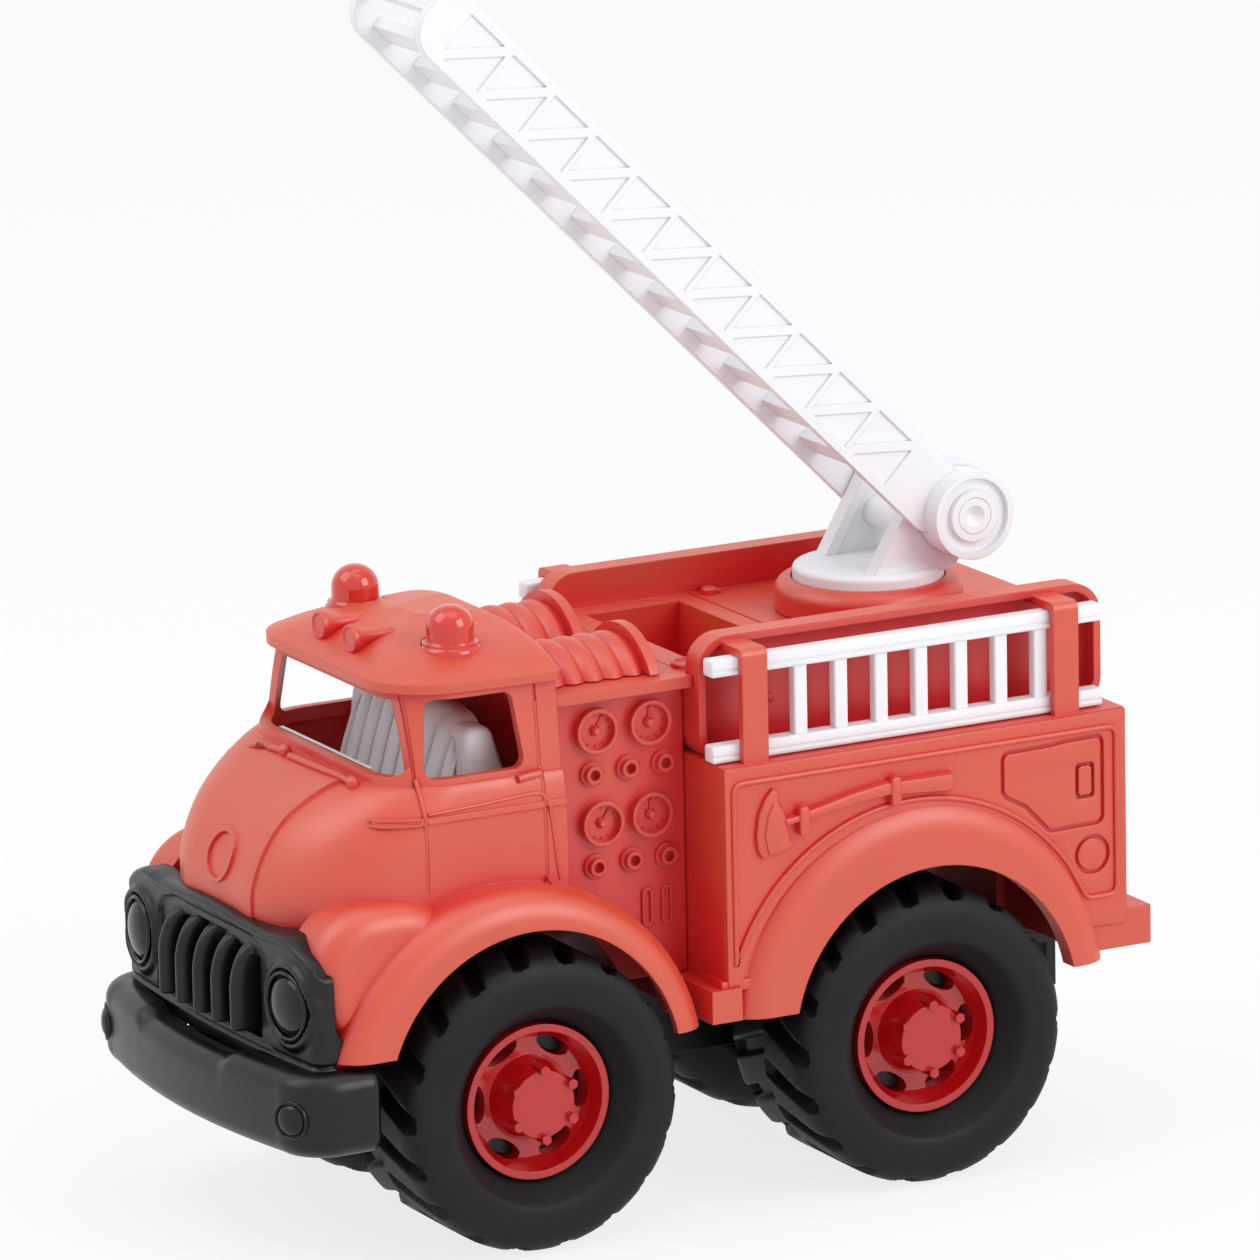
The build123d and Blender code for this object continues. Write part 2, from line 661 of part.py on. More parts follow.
# ------------------------------------------------------------ chassis
chassis_front_y = front_y + bumper_thick + 1.5
rail_rear_y = axle_rear_y + arch_radius - 8.0
with BuildPart() as chassis:
    rail_height = chassis_top - chassis_low
    rail_z = chassis_low + rail_height / 2
    with Locations((0, (chassis_front_y + chassis_rear_y) / 2, chassis_top - chassis_plate / 2)):
        Box(2 * chassis_half, chassis_rear_y - chassis_front_y, chassis_plate)
    with Locations((0, (chassis_front_y + rail_rear_y) / 2, rail_z)):
        with GridLocations(2 * chassis_half - chassis_rail, 0, 2, 1):
            Box(chassis_rail, rail_rear_y - chassis_front_y, rail_height)
    for axle_y in (axle_front_y, axle_rear_y):
        with Locations((0, axle_y, rail_z)):
            Box(2 * chassis_half, 4 * axle_radius, rail_height)
        with BuildSketch(Plane.YZ.offset(-chassis_half - 1.0)):
            with Locations((axle_y, axle_z)):
                Circle(axle_radius + running_gap)
        extrude(amount=2 * chassis_half + 2.0, mode=Mode.SUBTRACT)
    with Locations((0, chassis_front_y + wall / 2, rail_z), (0, rail_rear_y - wall / 2, rail_z)):
        Box(2 * chassis_half, wall, rail_height)
    # hooks under the tail
    with Locations((0, chassis_rear_y - tail_hook[1] / 2, chassis_top - tail_hook[2] / 2)):
        with GridLocations(2 * tail_half - tail_hook[0], 0, 2, 1):
            Box(*tail_hook)
    tail_y = axle_rear_y + tyre_radius + 2.0
    with Locations((0, (tail_y + chassis_rear_y) / 2, chassis_top - chassis_plate / 2)):
        Box(2 * tail_half, chassis_rear_y - tail_y, chassis_plate)
save(chassis.part, "chassis")

# ------------------------------------------------------------ roof, seat, beacons
lip_z = eaves_z + seat_gap


def roof_outline(rise, front_half, rear_half, front_draw, rear_draw, corner):
    """One level of the roof, wider at the rear than at the front."""
    with BuildSketch(Plane.XY.offset(lip_z + rise), mode=Mode.PRIVATE) as outline:
        with BuildLine():
            Polyline((-front_half, roof_front_y + front_draw), (front_half, roof_front_y + front_draw),
                     (rear_half, roof_rear_y - rear_draw), (-rear_half, roof_rear_y - rear_draw), close=True)
        make_face()
        fillet(outline.vertices().group_by(Axis.Y)[0], corner)
        fillet(outline.vertices().group_by(Axis.Y)[-1], roof_rear_corner)
    return outline.sketch


horn_z = eaves_z + horn_rise
pad_z = lip_z + beacon_pad_rise
beacon_places = [(sign * beacon_x, beacon_y) for sign in sides.values()]
with BuildPart() as cab_roof:
    for section in roof_sections:
        add(roof_outline(*section))
    loft()
    add(roof_outline(0.0, *roof_lip_half, 0.0, 0.0, roof_sections[0][-1]))
    extrude(amount=roof_lip)
    # flat pads under the beacons
    with BuildSketch(Plane.XY.offset(lip_z + roof_lip)):
        with Locations(*beacon_places):
            Circle(beacon_pad_radius)
    extrude(amount=beacon_pad_rise - roof_lip)
    with BuildSketch(Plane.XY.offset(pad_z)):
        with Locations(*beacon_places):
            Circle(beacon_pad_radius)
    extrude(amount=beacon_high, mode=Mode.SUBTRACT)
    # horns
    for sign in sides.values():
        with BuildSketch(Plane.YZ.offset(sign * horn_x)):
            with BuildLine():
                Polyline((horn_y + horn_profile[0][0], horn_z),
                         *[(horn_y + along, horn_z + radius) for along, radius in horn_profile],
                         (horn_y + horn_profile[-1][0], horn_z), close=True)
            make_face()
        revolve(axis=Axis((sign * horn_x, 0, horn_z), (0, 1, 0)))
save(cab_roof.part, "cab_roof")

with BuildPart() as bench_seat:
    bench_outline = [(cab_rear_y + back, high + (seat_gap if high == cab_floor_z else 0.0))
                     for back, high in bench_front + bench_back]
    with BuildSketch(Plane.YZ.offset(-bench_half)):
        with BuildLine():
            Polyline(*bench_outline, close=True)
        make_face()
    extrude(amount=2 * bench_half)
    fillet(bench_seat.edges().filter_by(Axis.Y).group_by(Axis.Z)[-1], bench_corner)
    # grooves down its front
    front_points = bench_outline[:len(bench_front)]
    for rib in range(bench_rib_count):
        rib_x = (rib - (bench_rib_count - 1) / 2) * bench_rib_pitch
        with BuildSketch(Plane.YZ.offset(rib_x - bench_rib[0] / 2)):
            with BuildLine():
                Polyline(*[(y - bench_rib[1], z) for y, z in front_points],
                         *[(y + bench_rib[1], z) for y, z in reversed(front_points)], close=True)
            make_face()
        extrude(amount=bench_rib[0], mode=Mode.SUBTRACT)
    # its foot runs forward and turns up behind the windscreen
    foot_z = cab_floor_z + seat_gap
    bench_front_y = front_points[0][0]
    with Locations((0, (dash_y + bench_front_y + dash_thick) / 2, foot_z + dash_thick / 2)):
        Box(2 * dash_half, bench_front_y + dash_thick - dash_y, dash_thick)
    with Locations((0, dash_y + dash_thick / 2, (foot_z + dash_high_z) / 2)):
        Box(2 * dash_half, dash_thick, dash_high_z - foot_z)
save(bench_seat.part, "bench_seat")

for side, sign in sides.items():
    with BuildPart() as beacon:
        with BuildSketch(Plane.XY.offset(pad_z + seat_gap)):
            with Locations((sign * beacon_x, beacon_y)):
                Circle(beacon_flange_radius)
        extrude(amount=beacon_flange)
        with BuildSketch(Plane.XY.offset(pad_z + seat_gap)):
            with Locations((sign * beacon_x, beacon_y)):
                Circle(beacon_radius)
        extrude(amount=beacon_high)
        fillet(beacon.edges().filter_by(GeomType.CIRCLE).group_by(Axis.Z)[-1], beacon_radius - 0.2)
    save(beacon.part, f"beacon_{side}")

# ------------------------------------------------------------ pump house and reels
pump_front_y = cab_rear_y + seat_gap
pump_back_y = pump_rear_y - seat_gap
with BuildPart() as pump_fittings:
    # gauges, outlets and grab slots that stand out of the left panel
    for kind, back, high in panel_rows:
        with Locations(Location((pump_half, cab_rear_y + back, high), (0, 90, 0))):
            if kind == "gauge":
                Cylinder(gauge_radius, gauge_rise + 0.5, align=on_face)
                Cylinder(gauge_radius - gauge_ring, 4 * gauge_rise, mode=Mode.SUBTRACT)
                Cylinder(gauge_radius, 0.5, align=on_face)
                Cylinder(gauge_hub, gauge_rise, align=on_face)
            else:
                Cylinder(outlet_radii[0], outlet_rise[0], align=on_face)
                Cylinder(outlet_radii[1], outlet_rise[1], align=on_face)
                Cylinder(outlet_radii[2], outlet_rise[1], align=on_face, mode=Mode.SUBTRACT)
    for back in grab_slots:
        with BuildSketch(Plane.YZ.offset(pump_half)):
            with Locations((cab_rear_y + back, grab_slot_z)):
                SlotOverall(*grab_slot, rotation=90)
                SlotOverall(grab_slot[0] - 1.8, grab_slot[1] - 1.8, rotation=90, mode=Mode.SUBTRACT)
        extrude(amount=grab_slot_rise)

with BuildPart() as pump_house:
    pump_middle_y = (pump_front_y + pump_back_y) / 2
    pump_length = pump_back_y - pump_front_y
    pump_low_z = board_z[1] + seat_gap
    with Locations((0, pump_middle_y, (pump_low_z + deck_z) / 2)):
        Box(2 * pump_half, pump_length, deck_z - pump_low_z)
    with Locations((0, pump_middle_y, (pump_low_z + deck_z - wall) / 2)):
        Box(2 * (pump_half - wall), pump_length - 2 * wall, deck_z - wall - pump_low_z, mode=Mode.SUBTRACT)
    with Locations((0, pump_middle_y, deck_z - pump_lip / 2)):
        Box(2 * (pump_half + pump_lip_reach), pump_length, pump_lip)
    add(both(pump_fittings.part))
    add(front_tunnels, mode=Mode.SUBTRACT)
save(pump_house.part, "pump_house")

reel_front_y = roof_rear_y + 2 * seat_gap
coil_rear_y = reel_rear_y - reel_flange
coil_width = (coil_rear_y - reel_front_y) / reel_coil_count
for side, sign in sides.items():
    with BuildPart() as reel:
        with BuildSketch(Plane.YZ.offset(sign * reel_x)):
            with BuildLine():
                Line((reel_front_y, reel_z), (reel_front_y, reel_z + reel_radius - reel_coil_depth))
                for coil in range(reel_coil_count):
                    start_y = reel_front_y + coil * coil_width
                    winding = ThreePointArc((start_y, reel_z + reel_radius - reel_coil_depth),
                                            (start_y + coil_width / 2, reel_z + reel_radius),
                                            (start_y + coil_width, reel_z + reel_radius - reel_coil_depth))
                Polyline(winding @ 1, (coil_rear_y, reel_z + reel_flange_radius),
                         (reel_rear_y, reel_z + reel_flange_radius), (reel_rear_y, reel_z),
                         (reel_front_y, reel_z))
            make_face()
        revolve(axis=Axis((sign * reel_x, 0, reel_z), (0, 1, 0)))
        split(bisect_by=Plane.XY.offset(deck_z + seat_gap), keep=Keep.TOP)
        split(bisect_by=Plane.YZ.offset(sign * seat_gap / 2), keep=Keep.TOP if sign > 0 else Keep.BOTTOM)
    save(reel.part, f"hose_reel_{side}")

# ------------------------------------------------------------ cargo body
board_front_y = front_fender_y + front_fender_radius + seat_gap
cargo_middle_y = (cargo_front_y + cargo_rear_y) / 2
cargo_length = cargo_rear_y - cargo_front_y
rear_fender_y = axle_rear_y + rear_fender_shift
rear_fender_z = axle_z + rear_fender_rise

with BuildPart() as rear_fender:
    crown_y = rear_fender_y + rear_fender_radius
    flank_in, flank_out = rear_fender_flank
    with BuildSketch(Plane.XY.offset(rear_fender_z)):
        with BuildLine():
            flank = ThreePointArc((cargo_half - 0.2, crown_y),
                                  (cargo_half + flank_out, crown_y - flank_in / 3),
                                  (fender_outer_x, crown_y - flank_in))
            Polyline(flank @ 1, (fender_outer_x, rear_fender_y), (cargo_half - wall, rear_fender_y),
                     (cargo_half - wall, crown_y), flank @ 0)
        make_face()
    revolve(axis=Axis((0, rear_fender_y, rear_fender_z), (1, 0, 0)))
    with Locations((cargo_half, rear_fender_y, cab_low_z - rear_fender_radius)):
        Box(cargo_half, 4 * rear_fender_radius, 2 * rear_fender_radius, mode=Mode.SUBTRACT)

with BuildPart() as tray:
    # side walls of the deck, each with a rim round a sunken panel
    with BuildSketch(Plane.YZ.offset(-tray_half)) as outline:
        with Locations((cargo_middle_y, (ledge_z - wall + tray_high_z) / 2)):
            Rectangle(cargo_length, tray_high_z - ledge_z + wall)
        fillet(outline.vertices().group_by(Axis.Z)[-1], tray_corner)
    extrude(amount=2 * tray_half)
    with Locations((0, cargo_middle_y, 1.5 * deck_z)):
        Box(2 * (tray_half - tray_wall), cargo_length + 2.0, deck_z, mode=Mode.SUBTRACT)
    with BuildSketch(Plane.YZ.offset(tray_half - recess_depth)) as panel:
        with Locations((cargo_middle_y, (ledge_z + tray_high_z - recess_rim) / 2)):
            Rectangle(cargo_length - 2 * recess_rim, tray_high_z - recess_rim - ledge_z)
        fillet(panel.vertices().group_by(Axis.Z)[-1], tray_corner - recess_rim)
    panel_cut = extrude(amount=recess_depth, mode=Mode.SUBTRACT)
    mirror(panel_cut, about=Plane.YZ, mode=Mode.SUBTRACT)

with BuildPart() as strap:
    with BuildSketch(Plane.XZ):
        strap_in_x = side_ladder_out_x + seat_gap
        strap_out_x = strap_in_x + strap_thick
        anchor_x = tray_half - recess_depth - 1.0
        with BuildLine():
            Polyline((strap_in_x, ledge_z - 1.0), (strap_in_x, strap_high_z - strap_thick),
                     (anchor_x, strap_high_z - strap_thick), (anchor_x, strap_high_z),
                     (strap_out_x, strap_high_z), (strap_out_x, ledge_z - 1.0), close=True)
        make_face()
    extrude(amount=strap_width / 2, both=True)
    top_corner = strap.edges().filter_by(Axis.Y).sort_by(lambda edge: edge.center().X + edge.center().Z)[-1]
    fillet(top_corner, strap_thick)

with BuildPart() as cargo_body:
    with Locations((0, cargo_middle_y, (panel_low_z + ledge_z) / 2)):
        Box(2 * cargo_half, cargo_length, ledge_z - panel_low_z)
    add(tray.part)
    add(both(rear_fender.part))
    # open underside
    with Locations((0, cargo_middle_y, (panel_low_z + ledge_z) / 2 - wall)):
        Box(2 * (cargo_half - wall), cargo_length - 2 * wall, ledge_z - panel_low_z, mode=Mode.SUBTRACT)
    hollow_low_z = ledge_z - 2 * wall
    with Locations((0, cargo_middle_y, (hollow_low_z + deck_z - wall) / 2)):
        Box(2 * (tray_half - tray_wall), cargo_length - 2 * wall, deck_z - wall - hollow_low_z,
            mode=Mode.SUBTRACT)
    # bin let into the deck
    with Locations((0, (bin_front_y + bin_rear_y) / 2, (bin_floor_z + deck_z) / 2)):
        Box(2 * bin_half + 2 * wall, bin_rear_y - bin_front_y + 2 * wall, deck_z - bin_floor_z)
    with Locations((0, (bin_front_y + bin_rear_y) / 2, (bin_floor_z + wall + deck_z + 10.0) / 2)):
        Box(2 * bin_half, bin_rear_y - bin_front_y, deck_z + 10.0 - bin_floor_z - wall, mode=Mode.SUBTRACT)
    # webs that stand on the chassis
    for rib_y in rib_rows:
        rib_top = bin_floor_z + 1.0 if rib_y < bin_rear_y else deck_z - 1.0
        with Locations((0, rib_y, (chassis_top + seat_gap + rib_top) / 2)):
            Box(2 * chassis_half, wall, rib_top - chassis_top - seat_gap)
    # running boards, rear step
    board_rear_y = cargo_front_y + 4.0
    with Locations((0, (board_front_y + board_rear_y) / 2, sum(board_z) / 2)):
        Box(2 * fender_outer_x - 3.0, board_rear_y - board_front_y, board_z[1] - board_z[0])
    with Locations((0, (rear_step_y + rear_y) / 2, sum(rear_step_z) / 2)):
        Box(2 * cargo_half, rear_y - rear_step_y, rear_step_z[1] - rear_step_z[0])
    add(rear_tunnels, mode=Mode.SUBTRACT)
    for row_y in strap_rows:
        add(both(Pos(0, row_y, 0) * strap.part))
    # hole for the turntable's spigot
    with BuildSketch(Plane.XY.offset(deck_z - 10.0)):
        with Locations((0, turret_y)):
            Circle(spigot_radius + running_gap)
    extrude(amount=20.0, mode=Mode.SUBTRACT)
save(cargo_body.part, "cargo_body")

for side, sign in sides.items():
    with BuildPart() as side_ladder:
        ladder_x = sign * (side_ladder_in_x + side_ladder_out_x) / 2
        ladder_thick = side_ladder_out_x - side_ladder_in_x
        for rail_z in (side_ladder_z[0] + side_rail / 2, side_ladder_z[1] - side_rail / 2):
            with BuildSketch(Plane.XZ.offset(-side_ladder_y[0])) as rail:
                with Locations((ladder_x, rail_z)):
                    Rectangle(ladder_thick, side_rail)
                outer_corners = rail.vertices().group_by(Axis.X)[-1 if sign > 0 else 0]
                chamfer(outer_corners, side_rail_edge)
            extrude(amount=side_ladder_y[0] - side_ladder_y[1])
        for rung in range(side_rung_count):
            rung_y = cargo_front_y + side_rung_first + rung * side_rung_pitch
            with Locations((ladder_x, rung_y, sum(side_ladder_z) / 2)):
                Box(ladder_thick - 1.6, side_rung, side_ladder_z[1] - side_ladder_z[0] - side_rail)
    save(side_ladder.part, f"side_ladder_{side}")

# ------------------------------------------------------------ turret and ladder
with BuildPart() as turret_ring:
    with BuildSketch(Plane.XY.offset(deck_z + seat_gap)):
        with Locations((0, turret_y)):
            Circle(ring_radius)
            Circle(ring_bore, mode=Mode.SUBTRACT)
    extrude(amount=ring_high_z - deck_z - seat_gap)
    outer_rim = turret_ring.edges().filter_by(GeomType.CIRCLE).group_by(Axis.Z)[-1].sort_by(SortBy.LENGTH)[-1]
    fillet(outer_rim, ring_round)
save(turret_ring.part, "turret_ring")

cheek_foot_z = turntable_high_z - 1.0
rake = radians(cheek_rake)
edge_y = hinge_y - cheek_radius * cos(rake)
edge_z = hinge_z + cheek_radius * sin(rake)
foot_y = edge_y - (edge_z - cheek_foot_z) * tan(rake)
with BuildPart() as turntable:
    with BuildSketch(Plane.XY.offset(deck_z + turn_gap)):
        with Locations((0, turret_y)):
            Circle(ring_bore - turn_gap)
    extrude(amount=turntable_high_z - deck_z - turn_gap)
    fillet(turntable.edges().filter_by(GeomType.CIRCLE).group_by(Axis.Z)[-1], 1.5)
    with BuildSketch(Plane.XY.offset(deck_z - wall - 6.0)):
        with Locations((0, turret_y)):
            Circle(spigot_radius)
    extrude(amount=wall + 8.0)
    for sign in sides.values():
        # cheek, its raked front edge a tangent to its round head
        with BuildSketch(Plane.YZ.offset(cheek_in_x if sign > 0 else -cheek_out_x)):
            with Locations((hinge_y, hinge_z)):
                Circle(cheek_radius)
            with BuildLine():
                Polyline((foot_y, cheek_foot_z), (edge_y, edge_z), (hinge_y, hinge_z),
                         (hinge_y + cheek_radius - 9.0, cheek_foot_z + 9.0), (hinge_y - 1.0, cheek_foot_z),
                         close=True)
            make_face()
        extrude(amount=cheek_out_x - cheek_in_x)
        # rib along that edge
        with BuildSketch(Plane.YZ.offset(cheek_in_x - cheek_rib[0] if sign > 0 else -cheek_in_x)):
            with BuildLine():
                Polyline((foot_y, cheek_foot_z), (edge_y, edge_z), (edge_y + cheek_rib[1], edge_z),
                         (foot_y + cheek_rib[1], cheek_foot_z), close=True)
            make_face()
        extrude(amount=cheek_rib[0])
        # hinge pin, with a cone sunk in its end
        pin_x = (cheek_out_x - 1.0, ladder_half + hub_reach)
        add(disc_x(hinge_y, hinge_z, hinge_pin_radius, *(pin_x if sign > 0 else (-pin_x[1], -pin_x[0]))))
        with Locations(Location((sign * (pin_x[1] + 0.01), hinge_y, hinge_z), (0, -90 * sign, 0))):
            Cone(pin_dimple[0], 0.4, pin_dimple[1], align=on_face, mode=Mode.SUBTRACT)
    tube_y = hinge_y + cross_tube_place[0]
    tube_z = hinge_z + cross_tube_place[1]
    add(disc_x(tube_y, tube_z, cross_tube_radius, -cheek_in_x, cheek_in_x))
save(turntable.part, "turntable")

rail_in_x = ladder_half - rail_thick
with BuildPart() as rail_left:
    # lying along -Y from the hinge, before it is raised
    with BuildSketch(Plane.YZ.offset(rail_in_x)) as rail:
        with Locations((-ladder_length / 2, (rail_above - rail_below) / 2)):
            Rectangle(ladder_length, rail_above + rail_below)
        fillet(rail.vertices().group_by(Axis.Y)[0], rail_tip_round)
        Circle(hub_radius)
    extrude(amount=rail_thick)
    # sunken panels that leave posts and slanting struts
    low = truss_chord[0] - rail_below
    high = rail_above - truss_chord[1]
    strut = 1.2 * truss_post
    for bay in range(truss_count):
        near = -truss_first - bay * truss_pitch - truss_post / 2
        far = near - truss_pitch + truss_post
        with BuildSketch(Plane.YZ.offset(ladder_half - truss_depth)):
            with BuildLine():
                Polyline((near, low), (near, high - strut), (far + strut, low), close=True)
            make_face()
            with BuildLine():
                Polyline((far, high), (near - strut, high), (far, low + strut), close=True)
            make_face()
        extrude(amount=truss_depth, mode=Mode.SUBTRACT)
    # hub with a grooved face, on the hinge pin
    add(disc_x(0, 0, hub_radius, rail_in_x, ladder_half + hub_reach))
    with BuildSketch(Plane.YZ.offset(ladder_half + hub_reach - hub_groove[2])):
        Circle(hub_groove[0])
        Circle(hub_groove[1], mode=Mode.SUBTRACT)
    extrude(amount=hub_groove[2], mode=Mode.SUBTRACT)
    add(disc_x(0, 0, hinge_pin_radius + running_gap, rail_in_x - 1.0, ladder_half + hub_reach + 1.0),
        mode=Mode.SUBTRACT)

with BuildPart() as ladder_flat:
    add(both(rail_left.part))
    for rung in range(rung_count):
        with Locations((0, -rung_first - rung * rung_pitch, -rung_drop)):
            Box(2 * rail_in_x + 1.0, *rung_size)
    with Locations((0, tip_plate / 2 - ladder_length, (rail_above - rail_below) / 2)):
        Box(2 * rail_in_x + 1.0, tip_plate, rail_above + rail_below - 2 * rail_tip_round)
ladder = Pos(0, hinge_y, hinge_z) * Rot(-ladder_rise, 0, 0) * ladder_flat.part
save(ladder, "ladder")

# ------------------------------------------------------------ wheels
groove_length = tyre_width / 2 - 1.0
with BuildPart() as tyre_half:
    # outer half, round an axle along X, its face at x = 0
    with BuildSketch(Plane.YZ.offset(-tyre_width / 2)):
        RegularPolygon(tyre_radius, tyre_sides)
    extrude(amount=tyre_width / 2 - tyre_shoulder)
    with BuildSketch(Plane.YZ.offset(-tyre_shoulder)):
        RegularPolygon(tyre_radius, tyre_sides)
    extrude(amount=tyre_shoulder, taper=45)
    add(disc_x(0, 0, rim_radius + seat_gap, -tyre_width, 1.0), mode=Mode.SUBTRACT)
    with BuildSketch(Plane.XY):
        with BuildLine():
            Polyline((-sidewall_depth, rim_radius + seat_gap), (0, sidewall_radius), (1.0, sidewall_radius),
                     (1.0, rim_radius + seat_gap), close=True)
        make_face()
    revolve(axis=Axis.X, mode=Mode.SUBTRACT)
    for lug in range(lug_count):
        groove_place = (Rot(lug * 360.0 / lug_count, 0, 0) * Pos(0, 0, tyre_radius - tread_depth + 5.0)
                        * Rot(0, 0, lug_slant))
        add(groove_place * Box(2 * groove_length, lug_gap, 10.0, mode=Mode.PRIVATE), mode=Mode.SUBTRACT)
# the inner half is turned by half a lug
inner_place = Pos(-tyre_width / 2, 0, 0) * Rot(180.0 / lug_count, 0, 180) * Pos(tyre_width / 2, 0, 0)
tyre = tyre_half.part + inner_place * tyre_half.part

floor_x = -rim_inset - rim_dish
with BuildPart() as rim:
    with BuildSketch(Plane.XY):
        with BuildLine():
            Polyline((4.0 - tyre_width, axle_radius + 0.05), (4.0 - tyre_width, rim_radius),
                     (-rim_inset, rim_radius), (-rim_inset, rim_radius - rim_lip),
                     (floor_x + 2.0, rim_radius - rim_lip - 1.5),
                     (floor_x, rim_radius - rim_lip - 2.7), (floor_x, hub_disc_radius + hub_taper),
                     (floor_x + hub_disc_rise, hub_disc_radius), (floor_x + hub_disc_rise, 0),
                     (floor_x, 0), (floor_x, axle_radius + 0.05), close=True)
        make_face()
    revolve(axis=Axis.X)
    # windows near the rim and nuts on the hub, turn about
    with BuildSketch(Plane.YZ.offset(floor_x - rim_window_depth)):
        with PolarLocations(rim_window_circle, rim_window_count):
            Ellipse(rim_window[1], rim_window[0])
    extrude(amount=rim_window_depth + rim_dish / 2, mode=Mode.SUBTRACT)
    with BuildSketch(Plane.YZ.offset(floor_x)):
        with PolarLocations(nut_circle, rim_window_count, start_angle=180.0 / rim_window_count):
            RegularPolygon(nut_radius, 6)
    extrude(amount=hub_disc_rise + nut_rise)

for end, axle_y in (("front", axle_front_y), ("rear", axle_rear_y)):
    axle_end_x = tyre_outer_x + floor_x - seat_gap
    save(disc_x(axle_y, axle_z, axle_radius, -axle_end_x, axle_end_x), f"axle_{end}")
    for side, sign in sides.items():
        wheel_place = Pos(sign * tyre_outer_x, axle_y, axle_z) * Rot(0, 0, 0 if sign > 0 else 180)
        save(wheel_place * tyre, f"tyre_{end}_{side}")
        save(wheel_place * rim.part, f"wheel_{end}_{side}")
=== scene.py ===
"""Toy fire engine in moulded plastic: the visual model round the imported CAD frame."""

import json
import logging
import math
from dataclasses import dataclass
from enum import Enum
from typing import Any, Optional, Sequence

import bmesh
import bpy
from mathutils import Matrix, Vector
from mathutils.bvhtree import BVHTree


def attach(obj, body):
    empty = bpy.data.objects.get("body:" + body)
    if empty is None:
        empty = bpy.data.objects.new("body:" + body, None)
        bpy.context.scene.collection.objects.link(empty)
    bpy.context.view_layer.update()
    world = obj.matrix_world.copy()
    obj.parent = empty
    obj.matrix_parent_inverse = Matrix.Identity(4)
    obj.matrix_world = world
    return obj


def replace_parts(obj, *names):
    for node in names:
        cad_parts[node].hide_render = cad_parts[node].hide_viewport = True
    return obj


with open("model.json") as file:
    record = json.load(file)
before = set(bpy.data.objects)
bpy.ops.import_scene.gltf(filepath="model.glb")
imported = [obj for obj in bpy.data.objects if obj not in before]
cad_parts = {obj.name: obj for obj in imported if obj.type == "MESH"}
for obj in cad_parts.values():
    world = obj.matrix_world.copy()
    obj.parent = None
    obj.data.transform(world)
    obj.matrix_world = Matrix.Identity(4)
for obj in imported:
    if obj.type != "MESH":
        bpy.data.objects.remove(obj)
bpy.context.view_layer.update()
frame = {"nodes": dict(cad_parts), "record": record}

LOG = logging.getLogger("fire_engine")
MM = 0.001
SIDES = (("left", 1), ("right", -1))

Pair = tuple[float, float]
Point = tuple[float, float, float]
Outline = tuple[Pair, ...]


# ------------------------------------------------------------------ colours and nodes
def linear(code: str) -> tuple[float, float, float, float]:
    """Turn an sRGB hex colour into a linear one.

    Args:
        code: six hex digits, such as "C8322B".

    Returns:
        Linear red, green, blue and alpha.
    """
    parts = [int(code[place:place + 2], 16) / 255 for place in (0, 2, 4)]
    values = [part / 12.92 if part <= 0.04045 else ((part + 0.055) / 1.055) ** 2.4 for part in parts]
    return (values[0], values[1], values[2], 1.0)


def add_node(tree: bpy.types.NodeTree, kind: str, inputs: Optional[dict[Any, Any]] = None,
             **settings: Any) -> bpy.types.Node:
    """Add a node with its settings, values and links.

    Args:
        tree: the tree that gets the node.
        kind: the node's Blender type name.
        inputs: value or output socket for each input, by name or number.
        settings: the node's own properties.

    Returns:
        The new node.
    """
    node = tree.nodes.new(kind)
    for name, value in settings.items():
        setattr(node, name, value)
    for key, value in (inputs or {}).items():
        if isinstance(value, bpy.types.NodeSocket):
            tree.links.new(value, node.inputs[key])
        else:
            node.inputs[key].default_value = value
    return node


